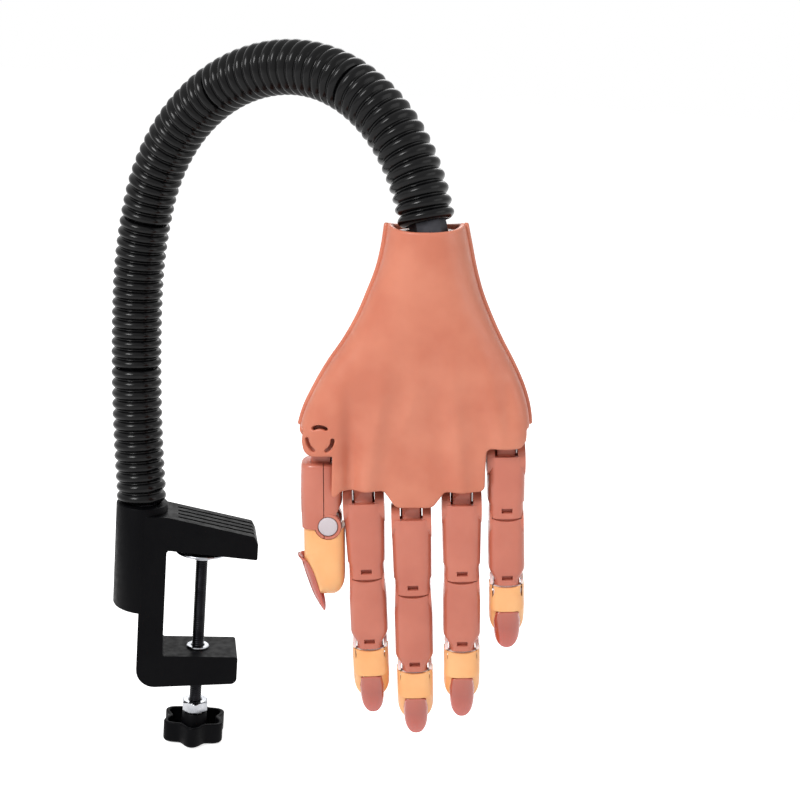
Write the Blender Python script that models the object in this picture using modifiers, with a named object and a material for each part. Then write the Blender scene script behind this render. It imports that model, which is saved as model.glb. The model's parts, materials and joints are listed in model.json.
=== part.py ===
"""Nail practice hand on a flexible arm with a table clamp.

Metres, +Z up. The origin lies on the clamp screw's axis, in the underside of the upper jaw,
where a table's top would lie. +X runs from the clamp's column to the ends of its jaws.
The arm rises from the column, arches over in an upright plane and enters the wrist. The hand
hangs from it with its back to -Y, and each finger bends toward the palm at three hinges.
"""

import math
from dataclasses import dataclass

import bmesh
import bpy
import numpy as np
from mathutils import Matrix, Vector

# Clearances shared by every fit
GAP = 0.0003
FIT_STEP = 0.0001
OVERRUN = 0.004

# Round and oval pieces
ROUND_SIDES = 12
FINE_SIDES = 14
BORE_SIDES = 8
OVAL_SIDES = 16
ARC_STEPS = 3

# Clamp
CLAMP_DEPTH = 0.024
COLUMN_WIDTH = 0.0221
COLUMN_TOP = 0.0175
COLUMN_DROP = 0.0258
THROAT_REACH = 0.0156
THROAT_HEIGHT = 0.046
STEM_WIDTH = 0.011
UPPER_JAW_REACH = 0.0242
UPPER_JAW_TIP_HEIGHT = 0.0085
UPPER_JAW_NOSE = 0.0032
UPPER_JAW_NOSE_RISE = 0.0023
LOWER_JAW_REACH = 0.0172
LOWER_JAW_THICKNESS = 0.0125
STEM_FOOT_DROP = 0.0025
FOOT_RADIUS = 0.008
SOFT_CORNER = 0.0028
SMALL_CORNER = 0.0012
GROOVE_COUNT = 4
GROOVE_WIDTH = 0.0017
GROOVE_PITCH = 0.0047
GROOVE_DEPTH = 0.0013
GROOVE_START = 0.0085
SCREW_RADIUS = 0.00265
SCREW_TIP_RADIUS = 0.002
INSERT_RADIUS = 0.0044
INSERT_FLANGE_RADIUS = 0.00495
INSERT_FLANGE_HEIGHT = 0.0007
DISC_RADIUS = 0.01175
DISC_THICKNESS = 0.0012
DISC_HUB_RADIUS = 0.0045
DISC_HUB_HEIGHT = 0.003
NUT_ACROSS_FLATS = 0.010
NUT_HEIGHT = 0.005
NUT_DROP = 0.0711
KNOB_RADIUS = 0.0128
KNOB_LOBE = 0.0014
KNOB_LOBES = 6
KNOB_HEIGHT = 0.0095
KNOB_DROP = 0.079
KNOB_WALL = 0.0022
KNOB_FLOOR = 0.0022
KNOB_BOSS_RADIUS = 0.0058

# Arm: a ribbed hose over a chain of ball links
ARM_HEADING = math.radians(43.7)
ROOT_OFFSET = -0.0006
ROOT_LENGTH = 0.012
ROOT_TURN = math.radians(-8.4)
LEG_LENGTH = 0.080
LEG_TURN = math.radians(8.2)
SWEEP_LENGTH = 0.0404
SWEEP_TURN = math.radians(13.6)
RISE_RADIUS = 0.0791
RISE_TURN = math.radians(72.0)
CROWN_RADIUS = 0.0637
CROWN_TURN = math.radians(56.0)
FALL_RADIUS = 0.0738
FALL_TURN = math.radians(18.2)
FALL_LENGTH = 0.0068
HINGE_SHARES = (0.19, 0.385, 0.60, 0.81)
HOSE_RIDGE_RADIUS = 0.0106
HOSE_VALLEY_RADIUS = 0.0088
HOSE_WALL = 0.0006
HOSE_PITCH = 0.00433
HOSE_BORE_STEPS = 8
LINK_RADIUS = 0.0072
LINK_NECK_RADIUS = 0.0036
LINK_BALL_RADIUS = 0.0058
LINK_NECK_LENGTH = 0.0068
LINK_CUP_LIP = 0.0018
LINK_CUP_GAP = 0.0005
LINK_ROOT_DEPTH = 0.014
LINK_PLUG_DEPTH = 0.012
LINK_STEPS = 5

# Palm shells
HAND_HEADING = math.radians(8.0)
HAND_LEAN = math.radians(-4.3)
PALM_WIDTH = 0.086
PALM_LENGTH = 0.110
PALM_DEPTH = 0.0285
SHELL_WALL = 0.002
SHELL_STEP = 0.0013
WRIST_RIM_DIP = 0.0025
# Down the hand, thumb side, little finger side, back, front, squareness of the section
PALM_SHARES = (
    (0.000, -0.184, 0.177, -0.480, 0.470, 2.3),
    (0.065, -0.196, 0.193, -0.480, 0.480, 2.3),
    (0.150, -0.222, 0.215, -0.480, 0.500, 2.4),
    (0.225, -0.259, 0.241, -0.480, 0.520, 2.5),
    (0.305, -0.303, 0.280, -0.480, 0.530, 2.6),
    (0.390, -0.364, 0.329, -0.475, 0.540, 2.8),
    (0.470, -0.430, 0.378, -0.465, 0.540, 3.2),
    (0.555, -0.487, 0.419, -0.450, 0.530, 3.8),
    (0.635, -0.530, 0.442, -0.435, 0.510, 4.6),
    (0.700, -0.550, 0.448, -0.425, 0.480, 5.4),
    (0.780, -0.550, 0.436, -0.415, 0.450, 6.0),
    (0.870, -0.548, 0.430, -0.410, 0.430, 6.0),
    (1.000, -0.545, 0.425, -0.405, 0.420, 6.0),
)
SHELL_COLUMNS = 16
SEAM_OVERLAP = 0.0015
TENDON_HEIGHT = 0.0008
TENDON_WIDTH = 0.0038
TENDON_START_SHARE = 0.30
SIDE_OPENING_TOP = 0.0725
SIDE_OPENING_HALF = 0.0083
EDGE_CORNER = 0.001
LOBE_BOTTOM = 0.0853
LOBE_CORNER = 0.0035
LOBE_INNER_EDGE = 0.0348
WEB_SPIKE_BOTTOM = 0.101
WEB_SPIKE_WIDTH = 0.0022
CAP_SLOT_RADIUS = 0.0048
CAP_SLOT_WIDTH = 0.0011
CAP_SLOT_SWEEP = math.radians(62.0)
CAP_SLOT_COUNT = 3
SHELL_SCREW_ACROSS = 0.003
SHELL_SCREW_DOWN = 0.043
SHELL_SCREW_SPACING = 0.030
SHELL_SCREW_RADIUS = 0.0012
SHELL_SCREW_HEAD_RADIUS = 0.0026
SHELL_SCREW_HEAD_HEIGHT = 0.0016
SHELL_SCREW_REACH = 0.004
SHELL_BOSS_RADIUS = 0.0032
SHELL_BOSS_END = 0.0005
PLUG_TOP = 0.001
PLUG_LENGTH = 0.024
PLUG_INSET = 0.0012

# Finger hinges
HINGE_LIP = 0.002
KNUCKLE_TONGUE_WIDTH = 0.0069
KNUCKLE_SLOT_WIDTH = 0.0086
KNUCKLE_TONGUE_RADIUS = 0.0044
KNUCKLE_EAR_RADIUS = 0.0066
MIDDLE_TONGUE_WIDTH = 0.0105
MIDDLE_TONGUE_RADIUS = 0.0044
MIDDLE_EAR_RADIUS = 0.0060
END_TONGUE_WIDTH = 0.0100
END_TONGUE_RADIUS = 0.0040
END_EAR_RADIUS = 0.0054
TRUNNION_RADIUS = 0.0016
PIN_RADIUS = 0.0011
UPPER_RELIEF_ANGLE = math.radians(46.0)
LOWER_RELIEF_ANGLE = math.radians(43.0)
POST_RISE = 0.012
POST_RADIUS = 0.0018
POST_BACK_END = 0.0074
EYE_RADIUS = 0.0043
EYE_HALF_HEIGHT = 0.0066
NECK_HALF_DEPTH = 0.0036
WINDOW_WIDTH = 0.0041
WINDOW_HEIGHT = 0.0019
WINDOW_DEPTH = 0.0022
WINDOW_RISE = 0.0021
FINGER_SQUARENESS = 3.6
STEP_RISE = 0.0085
STEP_HEIGHT = 0.0008
SHOULDER_RISE = 0.0090
END_BLOCK_RISE = 0.0030

# Fingertips and nails
TIP_SQUARENESS = 3.2
STEM_HALF_WIDTH = 0.0035
STEM_HALF_DEPTH = 0.0024
STEM_START = 0.0030
STEM_LENGTH = 0.0105
NAIL_SLOPE = math.radians(18.0)
NAIL_THICKNESS = 0.0009
NAIL_CROWN = 0.0055
NAIL_ROOT_LAND = 0.0004
NAIL_POST_HALF = 0.0009
NAIL_POST_LENGTH = 0.0020
NAIL_POST_DOWN = 0.0034
NAIL_STATIONS = 7
NAIL_SPACING = 1.7
NAIL_END_SQUARENESS = 4.0
NAIL_COLUMNS = 6
NAIL_END_WIDTH_SHARE = 0.45
NAIL_ROOT_WIDTH_SHARE = 0.86

# Thumb
THUMB_ACROSS = -0.0396
THUMB_DOWN = 0.0788
THUMB_POST_RADIUS = 0.0022
THUMB_EYE_RADIUS = 0.0046
THUMB_EYE_HALF_HEIGHT = 0.0067
THUMB_NECK_HALF_WIDTH = 0.0036
THUMB_NECK_HALF_DEPTH = 0.0040
THUMB_NECK_LENGTH = 0.026
THUMB_TOP = 0.0105
THUMB_HALF_WIDTH = 0.00755
THUMB_HALF_DEPTH = 0.00775
THUMB_SQUARENESS = 3.2
THUMB_SEAM = 0.0011
THUMB_PIN_ACROSS = 0.0026
THUMB_PIN_DOWN = 0.0347
THUMB_CHEEK_DROP = 0.0012
THUMB_EAR_RADIUS = 0.0049
THUMB_SLOT_HALF = 0.0040
THUMB_TONGUE_RADIUS = 0.0040
THUMB_PIN_RADIUS = 0.0014
THUMB_PIN_HEAD_RADIUS = 0.0036
THUMB_PIN_HEAD_HEIGHT = 0.0011
THUMB_FLEX_RELIEF = math.radians(60.0)


@dataclass(frozen=True)
class Finger:
    """One finger's places in the hand and its own sizes, all in metres and radians."""

    name: str
    across: float
    down: float
    lean: float
    upper_length: float
    middle_length: float
    knuckle_width: float
    upper_width: float
    ear_width: float
    middle_width: float
    half_depth: float
    edge_down: float
    palm_edge_down: float


@dataclass(frozen=True)
class Tip:
    """One fingertip's outline and the nail that it carries, in metres."""

    name: str
    top: float
    half_width: float
    back: float
    front: float
    length: float
    nail_root: float
    nail_length: float
    nail_half_width: float
    nail_lift: float = 0.0


FINGERS = (
    Finger("index", across=-0.0236, down=0.1069, lean=math.radians(2.2), upper_length=0.0301,
           middle_length=0.0283, knuckle_width=0.0157, upper_width=0.0142, ear_width=0.0133,
           middle_width=0.0143, half_depth=0.0072, edge_down=0.0984, palm_edge_down=0.0968),
    Finger("middle", across=-0.0056, down=0.1132, lean=math.radians(1.4), upper_length=0.0302,
           middle_length=0.0312, knuckle_width=0.0153, upper_width=0.0146, ear_width=0.0137,
           middle_width=0.0147, half_depth=0.0074, edge_down=0.1050, palm_edge_down=0.1032),
    Finger("ring", across=0.0134, down=0.1075, lean=math.radians(0.6), upper_length=0.0303,
           middle_length=0.0284, knuckle_width=0.0152, upper_width=0.0143, ear_width=0.0135,
           middle_width=0.0144, half_depth=0.0073, edge_down=0.0988, palm_edge_down=0.0975),
    Finger("little", across=0.0299, down=0.0886, lean=math.radians(1.2), upper_length=0.0243,
           middle_length=0.0267, knuckle_width=0.0145, upper_width=0.0139, ear_width=0.0130,
           middle_width=0.0138, half_depth=0.0070, edge_down=0.0822, palm_edge_down=0.0788),
)

TIPS = {
    "index": Tip("index", top=0.002, half_width=0.0069, back=0.0068, front=0.0068, length=0.0195,
                 nail_root=0.0086, nail_length=0.0185, nail_half_width=0.0046),
    "middle": Tip("middle", top=0.002, half_width=0.0070, back=0.0069, front=0.0070, length=0.0195,
                  nail_root=0.0084, nail_length=0.0182, nail_half_width=0.0047),
    "ring": Tip("ring", top=0.002, half_width=0.0070, back=0.0069, front=0.0069, length=0.0195,
                nail_root=0.0084, nail_length=0.0198, nail_half_width=0.0048),
    "little": Tip("little", top=0.002, half_width=0.0067, back=0.0066, front=0.0067, length=0.0190,
                  nail_root=0.0080, nail_length=0.0178, nail_half_width=0.0051),
    "thumb": Tip("thumb", top=-0.0015, half_width=0.0075, back=0.0094, front=0.0061, length=0.0287,
                 nail_root=0.0125, nail_length=0.0245, nail_half_width=0.0056,
                  nail_lift=0.0018),
}

COLUMN_X = -THROAT_REACH - COLUMN_WIDTH / 2
LOWER_JAW_TOP = -THROAT_HEIGHT
LOWER_JAW_BOTTOM = LOWER_JAW_TOP - LOWER_JAW_THICKNESS


def reset_scene():
    """Removes every object, and makes the collections for pieces, cutters and frames."""
    for obj in list(bpy.data.objects):
        bpy.data.objects.remove(obj, do_unlink=True)
    made = []
    for name in ("nail_practice_hand", "cutters", "frames"):
        collection = bpy.data.collections.new(name)
        bpy.context.scene.collection.children.link(collection)
        made.append(collection)
    return made


PIECES, CUTTERS, FRAMES = reset_scene()


def material(name, colour, roughness, metallic=0.0):
    """A plain finish: base colour, roughness and metallic value."""
    made = bpy.data.materials.new(name)
    made.use_nodes = True
    shader = made.node_tree.nodes["Principled BSDF"]
    shader.inputs["Base Color"].default_value = (*colour, 1.0)
    shader.inputs["Roughness"].default_value = roughness
    shader.inputs["Metallic"].default_value = metallic
    made.diffuse_color = (*colour, 1.0)
    return made


CLAMP_BLACK = material("clamp_black", (0.010, 0.010, 0.012), 0.45)
HOSE_BLACK = material("hose_black", (0.008, 0.008, 0.009), 0.25)
CHROME = material("chrome", (0.62, 0.63, 0.65), 0.22, 1.0)
LINK_METAL = material("link_metal", (0.45, 0.46, 0.48), 0.4, 1.0)
PIN_STEEL = material("pin_steel", (0.55, 0.55, 0.56), 0.35, 1.0)
PALE_PLASTIC = material("pale_plastic", (0.82, 0.66, 0.64), 0.4)
SHELL_PLASTIC = material("shell_plastic", (0.70, 0.26, 0.165), 0.5)
FINGER_PLASTIC = material("finger_plastic", (0.58, 0.178, 0.122), 0.5)
TIP_PLASTIC = material("tip_plastic", (1.0, 0.52, 0.205), 0.5)
NAIL_PLASTIC = material("nail_plastic", (0.43, 0.091, 0.061), 0.25)


def empty(name, parent=None, place=(0.0, 0.0, 0.0), turn=None):
    """A frame, or a joint's centre, under its parent frame."""
    obj = bpy.data.objects.new(name, None)
    obj.empty_display_size = SCREW_RADIUS
    FRAMES.objects.link(obj)
    obj.parent = parent
    turn = turn if turn is not None else Matrix.Identity(3)
    obj.matrix_local = Matrix.Translation(Vector(place)) @ turn.to_4x4()
    return obj


def tool(name, mesh, frame):
    """A mesh object in a frame, kept with the cutters until it is finished as a piece."""
    obj = bpy.data.objects.new(name, mesh)
    CUTTERS.objects.link(obj)
    obj.parent = frame
    obj.hide_render = True
    obj.display_type = "WIRE"
    return obj


def as_piece(obj, name, finish, smooth=True):
    """Moves a finished object to the pieces, under its own name and with its finish."""
    obj.name = name
    obj.data.name = name
    CUTTERS.objects.unlink(obj)
    PIECES.objects.link(obj)
    obj.hide_render = False
    obj.display_type = "TEXTURED"
    obj.data.materials.clear()
    obj.data.materials.append(finish)
    if smooth:
        obj.data.shade_smooth()
        obj.data.set_sharp_from_angle(angle=math.radians(32.0))
    return obj


def from_bmesh(name, bm, frame):
    """Closes a bmesh into a mesh object with its faces pointing out."""
    bmesh.ops.recalc_face_normals(bm, faces=bm.faces)
    mesh = bpy.data.meshes.new(name)
    bm.to_mesh(mesh)
    bm.free()
    return tool(name, mesh, frame)


def block(name, low, high, frame, turn=None):
    """A box between two corners, turned about its frame's origin if a turn is given."""
    low, high = Vector(low), Vector(high)
    bm = bmesh.new()
    bmesh.ops.create_cube(bm, size=1.0)
    bmesh.ops.scale(bm, vec=high - low, verts=bm.verts)
    bmesh.ops.translate(bm, vec=(low + high) / 2, verts=bm.verts)
    if turn is not None:
        bmesh.ops.rotate(bm, cent=(0, 0, 0), matrix=turn, verts=bm.verts)
    return from_bmesh(name, bm, frame)


def rod(name, radius, start, end, frame, sides=ROUND_SIDES, end_radius=None):
    """A cylinder, or a cone with an end radius, between two points."""
    start, end = Vector(start), Vector(end)
    along = end - start
    bm = bmesh.new()
    bmesh.ops.create_cone(bm, cap_ends=True, segments=sides, radius1=radius,
                          radius2=radius if end_radius is None else end_radius,
                          depth=along.length)
    turn = Vector((0, 0, 1)).rotation_difference(along).to_matrix()
    bmesh.ops.rotate(bm, cent=(0, 0, 0), matrix=turn, verts=bm.verts)
    bmesh.ops.translate(bm, vec=(start + end) / 2, verts=bm.verts)
    return from_bmesh(name, bm, frame)


def cross_rod(name, radius, half_length, frame, place=(0.0, 0.0), sides=ROUND_SIDES):
    """A cylinder along the frame's X, centred on it, at a place in Y and Z."""
    y, z = place
    return rod(name, radius, (-half_length, y, z), (half_length, y, z), frame, sides)


def ball(name, radius, centre, frame):
    """A sphere of flat faces."""
    bm = bmesh.new()
    bmesh.ops.create_uvsphere(bm, u_segments=ROUND_SIDES, v_segments=ROUND_SIDES // 2,
                              radius=radius)
    bmesh.ops.translate(bm, vec=centre, verts=bm.verts)
    return from_bmesh(name, bm, frame)


def loft(name, rings, frame):
    """A closed body through rings of equally many points, with flat ends."""
    rings = np.asarray(rings, dtype=float)
    count, sides = rings.shape[:2]
    bm = bmesh.new()
    rows = [[bm.verts.new(point) for point in ring] for ring in rings]
    for lower, upper in zip(rows[:-1], rows[1:]):
        for k in range(sides):
            after = (k + 1) % sides
            bm.faces.new((lower[k], lower[after], upper[after], upper[k]))
    bm.faces.new(rows[0])
    bm.faces.new(rows[-1])
    return from_bmesh(name, bm, frame)


def plate(name, outline, low, high, frame):
    """A flat outline in X and Z, extruded along Y from low to high."""
    curve = bpy.data.curves.new(name, "CURVE")
    curve.dimensions = "2D"
    curve.fill_mode = "BOTH"
    curve.extrude = (high - low) / 2
    spline = curve.splines.new("POLY")
    spline.points.add(len(outline) - 1)
    for point, (x, z) in zip(spline.points, outline):
        point.co = (x, z, 0.0, 1.0)
    spline.use_cyclic_u = True
    upright = Matrix.Translation((0, (low + high) / 2, 0)) @ Matrix.Rotation(math.pi / 2, 4, "X")
    return mesh_from_curve(name, curve, frame, upright)


def mesh_from_curve(name, curve, frame, place=Matrix.Identity(4)):
    """Turns a curve into a closed mesh object, its caps welded to its sides."""
    guide = bpy.data.objects.new(name, curve)
    bpy.context.scene.collection.objects.link(guide)
    evaluated = guide.evaluated_get(bpy.context.evaluated_depsgraph_get())
    mesh = bpy.data.meshes.new_from_object(evaluated)
    bpy.data.objects.remove(guide, do_unlink=True)
    bm = bmesh.new()
    bm.from_mesh(mesh)
    bmesh.ops.remove_doubles(bm, verts=bm.verts, dist=GAP / 10)
    bmesh.ops.transform(bm, matrix=place, verts=bm.verts)
    bpy.data.meshes.remove(mesh)
    return from_bmesh(name, bm, frame)


def combine(target, operation, tools):
    """Adds one exact boolean for each tool, in order."""
    for each in tools:
        modifier = target.modifiers.new(each.name, "BOOLEAN")
        modifier.operation = operation
        modifier.solver = "EXACT"
        modifier.object = each
    return target


def cut(target, *tools):
    """Cuts the tools out of the target."""
    return combine(target, "DIFFERENCE", tools)


def join(target, *tools):
    """Joins the tools to the target as one body."""
    return combine(target, "UNION", tools)


def rounded_outline(corners):
    """A closed outline through corners of (x, z, radius), each with an arc of that radius."""
    points = []
    for k, (x, z, radius) in enumerate(corners):
        here = Vector((x, z))
        back = (Vector(corners[k - 1][:2]) - here).normalized()
        ahead = (Vector(corners[(k + 1) % len(corners)][:2]) - here).normalized()
        if radius == 0.0:
            points.append(tuple(here))
            continue
        half = back.angle(ahead) / 2
        middle = (back + ahead).normalized()
        centre = here + middle * (radius / math.sin(half))
        first = here + back * (radius / math.tan(half)) - centre
        last = here + ahead * (radius / math.tan(half)) - centre
        for step in range(ARC_STEPS + 1):
            mix = step / ARC_STEPS
            arm = first.lerp(last, mix).normalized() * radius
            points.append(tuple(centre + arm))
    return points


def oval(half_width, back, front, squareness, sides=OVAL_SIDES, middle=0.0):
    """A ring in X and Y: a superellipse whose back (-Y) and front (+Y) depths differ."""
    angle = np.arange(sides) * (2 * math.pi / sides)
    power = 2.0 / squareness
    x = half_width * np.sign(np.cos(angle)) * np.abs(np.cos(angle)) ** power
    rise = np.sign(np.sin(angle)) * np.abs(np.sin(angle)) ** power
    y = np.where(rise < 0, back * rise, front * rise) + middle
    return x, y


def oval_rings(stations, squareness):
    """Rings for a loft from stations of (height, half width, back, front)."""
    rings = []
    for height, half_width, back, front in stations:
        x, y = oval(half_width, back, front, squareness)
        rings.append(np.stack([x, y, np.full_like(x, height)], axis=1))
    return rings


# Clamp


def clamp_outline():
    """The clamp's side view: column, sloping upper jaw, stem and lower jaw."""
    left = -THROAT_REACH - COLUMN_WIDTH
    stem_left = -THROAT_REACH - STEM_WIDTH
    return rounded_outline((
        (left, COLUMN_TOP, SMALL_CORNER),
        (left, -COLUMN_DROP, SOFT_CORNER),
        (stem_left, -COLUMN_DROP, SMALL_CORNER),
        (stem_left, LOWER_JAW_BOTTOM - STEM_FOOT_DROP, FOOT_RADIUS),
        (LOWER_JAW_REACH, LOWER_JAW_BOTTOM, SOFT_CORNER),
        (LOWER_JAW_REACH, LOWER_JAW_TOP, SMALL_CORNER),
        (-THROAT_REACH, LOWER_JAW_TOP, SMALL_CORNER),
        (-THROAT_REACH, 0.0, SMALL_CORNER),
        (UPPER_JAW_REACH, 0.0, SMALL_CORNER),
        (UPPER_JAW_REACH, UPPER_JAW_TIP_HEIGHT, SMALL_CORNER),
        (UPPER_JAW_REACH - UPPER_JAW_NOSE, UPPER_JAW_TIP_HEIGHT + UPPER_JAW_NOSE_RISE, SMALL_CORNER),
        (-THROAT_REACH, COLUMN_TOP, 0.0),
    ))


def build_clamp(base):
    """The C-shaped frame, its insert, the screw with its disc, the nut and the star knob."""
    body = plate("clamp_body", clamp_outline(), -CLAMP_DEPTH / 2, CLAMP_DEPTH / 2, base)
    bore_radius = LINK_RADIUS + 2 * GAP
    bore_x, bore_y, _ = plane_point(ROOT_OFFSET, COLUMN_TOP)
    cut(body, rod("column_bore", bore_radius, (bore_x, bore_y, COLUMN_TOP - LINK_ROOT_DEPTH - GAP),
                  (bore_x, bore_y, COLUMN_TOP + OVERRUN), base))
    cut(body, rod("insert_hole", INSERT_RADIUS + GAP, (0, 0, LOWER_JAW_BOTTOM - OVERRUN),
                  (0, 0, LOWER_JAW_TOP + OVERRUN), base))
    rise = COLUMN_TOP - UPPER_JAW_TIP_HEIGHT - UPPER_JAW_NOSE_RISE
    slope = math.atan2(rise, UPPER_JAW_REACH - UPPER_JAW_NOSE + THROAT_REACH)
    top = empty("upper_jaw_top", base, (-THROAT_REACH, 0, COLUMN_TOP), Matrix.Rotation(slope, 3, "Y"))
    for k in range(GROOVE_COUNT):
        y = (k - (GROOVE_COUNT - 1) / 2) * GROOVE_PITCH
        cut(body, block(f"jaw_groove_{k + 1}", (GROOVE_START, y - GROOVE_WIDTH / 2, -GROOVE_DEPTH),
                        (THROAT_REACH + UPPER_JAW_REACH + OVERRUN, y + GROOVE_WIDTH / 2, OVERRUN), top))
    as_piece(body, "clamp_frame", CLAMP_BLACK)

    insert = rod("insert_body", INSERT_RADIUS, (0, 0, LOWER_JAW_BOTTOM), (0, 0, LOWER_JAW_TOP + GAP), base)
    flange_top = LOWER_JAW_TOP + GAP + INSERT_FLANGE_HEIGHT
    join(insert, rod("insert_flange", INSERT_FLANGE_RADIUS, (0, 0, LOWER_JAW_TOP + GAP),
                     (0, 0, flange_top), base))
    cut(insert, rod("insert_bore", SCREW_RADIUS + GAP, (0, 0, LOWER_JAW_BOTTOM - OVERRUN),
                    (0, 0, flange_top + OVERRUN), base))
    as_piece(insert, "jaw_thread_insert", CHROME)

    disc_top = -GAP
    disc_bottom = disc_top - DISC_THICKNESS
    hub_bottom = disc_bottom - DISC_HUB_HEIGHT
    disc = rod("disc_body", DISC_RADIUS, (0, 0, disc_bottom), (0, 0, disc_top), base, FINE_SIDES)
    join(disc, rod("disc_hub", DISC_HUB_RADIUS, (0, 0, hub_bottom), (0, 0, disc_bottom + GAP), base))
    cut(disc, rod("disc_socket", SCREW_TIP_RADIUS + GAP, (0, 0, hub_bottom - OVERRUN),
                  (0, 0, disc_bottom), base))
    as_piece(disc, "pressure_disc", CHROME)

    knob_bottom = -KNOB_DROP - KNOB_HEIGHT
    screw = rod("screw_shank", SCREW_RADIUS, (0, 0, knob_bottom + GAP), (0, 0, hub_bottom - GAP), base)
    join(screw, rod("screw_tip", SCREW_TIP_RADIUS, (0, 0, hub_bottom - SCREW_RADIUS),
                    (0, 0, disc_bottom - GAP), base))
    as_piece(screw, "clamp_screw", CHROME)

    nut_radius = NUT_ACROSS_FLATS / math.sqrt(3)
    nut = rod("nut_body", nut_radius, (0, 0, -NUT_DROP - NUT_HEIGHT), (0, 0, -NUT_DROP), base, 6)
    cut(nut, rod("nut_bore", SCREW_RADIUS + GAP, (0, 0, -NUT_DROP - NUT_HEIGHT - OVERRUN),
                 (0, 0, -NUT_DROP + OVERRUN), base))
    as_piece(nut, "knob_lock_nut", CHROME, smooth=False)
    build_knob(base, knob_bottom)


def star_rings(base_radius, lobe, low, high):
    """Two rings of a star with round lobes: the radius swings once for each lobe."""
    angle = np.arange(KNOB_LOBES * 8) * (2 * math.pi / (KNOB_LOBES * 8))
    radius = base_radius + lobe * np.cos(KNOB_LOBES * angle)
    flat = np.stack([radius * np.cos(angle), radius * np.sin(angle)], axis=1)
    return [np.column_stack([flat, np.full(len(flat), height)]) for height in (low, high)]


def build_knob(base, knob_bottom):
    """A hollow star knob: lobed wall, floor, and a boss that rises to the lock nut."""
    knob = loft("knob_star", star_rings(KNOB_RADIUS, KNOB_LOBE, knob_bottom, -KNOB_DROP), base)
    cut(knob, loft("knob_hollow", star_rings(KNOB_RADIUS - KNOB_WALL, KNOB_LOBE,
                                             knob_bottom + KNOB_FLOOR, -KNOB_DROP + OVERRUN), base))
    boss_top = -NUT_DROP - NUT_HEIGHT - GAP
    join(knob, rod("knob_boss", KNOB_BOSS_RADIUS, (0, 0, knob_bottom + KNOB_FLOOR / 2), (0, 0, boss_top),
                   base))
    cut(knob, rod("knob_bore", SCREW_RADIUS + GAP, (0, 0, knob_bottom - OVERRUN),
                  (0, 0, boss_top + OVERRUN), base))
    as_piece(knob, "knob", CLAMP_BLACK)


# Arm

ROUTE = (
    (ROOT_LENGTH, ROOT_TURN),
    (LEG_LENGTH, LEG_TURN),
    (SWEEP_LENGTH, SWEEP_TURN),
    (RISE_RADIUS * RISE_TURN, RISE_TURN),
    (CROWN_RADIUS * CROWN_TURN, CROWN_TURN),
    (FALL_RADIUS * FALL_TURN, FALL_TURN),
    (FALL_LENGTH, 0.0),
)
ARM_LENGTH = sum(length for length, turn in ROUTE)


def route_at(distance):
    """Place and heading on the arm's centre line: arcs of steady bend, end to end.

    Returns x and z in the arm's plane and the angle from straight up. Before the start and
    past the end the line runs on straight.
    """
    x, z, heading = ROOT_OFFSET, COLUMN_TOP + GAP, 0.0
    left = distance
    for length, turn in ROUTE:
        step = min(left, length) if left > 0 else 0.0
        after = heading + turn * step / length
        if abs(turn) > 0.0:
            radius = length / turn
            x += radius * (math.cos(heading) - math.cos(after))
            z += radius * (math.sin(after) - math.sin(heading))
        else:
            x += step * math.sin(heading)
            z += step * math.cos(heading)
        heading = after
        left -= step
        if left <= 0:
            break
    run_on = distance if distance < 0 else max(distance - ARM_LENGTH, 0.0)
    return x + run_on * math.sin(heading), z + run_on * math.cos(heading), heading


def hose_tube(name, stations, radii, frame, frame_start, resolution):
    """A tube along the route through stations, with a radius at each, in its hinge's frame."""
    x0, z0, heading0 = route_at(frame_start)
    curve = bpy.data.curves.new(name, "CURVE")
    curve.dimensions = "3D"
    curve.bevel_depth = 1.0
    curve.bevel_resolution = resolution
    curve.use_fill_caps = True
    spline = curve.splines.new("POLY")
    spline.points.add(len(stations) - 1)
    for point, station, radius in zip(spline.points, stations, radii):
        x, z, _ = route_at(station)
        dx, dz = x - x0, z - z0
        across = dx * math.cos(heading0) - dz * math.sin(heading0)
        along = dx * math.sin(heading0) + dz * math.cos(heading0)
        point.co = (across, 0.0, along, 1.0)
        point.radius = radius
    return mesh_from_curve(name, curve, frame)


def hose_section(index, start, end, frame, frame_start):
    """One length of ribbed hose: ridge and valley by turns, and a plain bore through it."""
    ribs = round((end - start) / HOSE_PITCH)
    stations = np.linspace(start + GAP, end - GAP, 2 * ribs + 1)
    radii = [HOSE_VALLEY_RADIUS if k % 2 == 0 else HOSE_RIDGE_RADIUS for k in range(2 * ribs + 1)]
    hose = hose_tube(f"hose_wall_{index}", stations, radii, frame, frame_start, 2)
    bore = np.linspace(start - OVERRUN, end + OVERRUN, HOSE_BORE_STEPS + 1)
    bore_radii = [HOSE_VALLEY_RADIUS - HOSE_WALL] * len(bore)
    cut(hose, hose_tube(f"hose_bore_{index}", bore, bore_radii, frame, frame_start, 2))
    as_piece(hose, f"hose_{index}", HOSE_BLACK)


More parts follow.
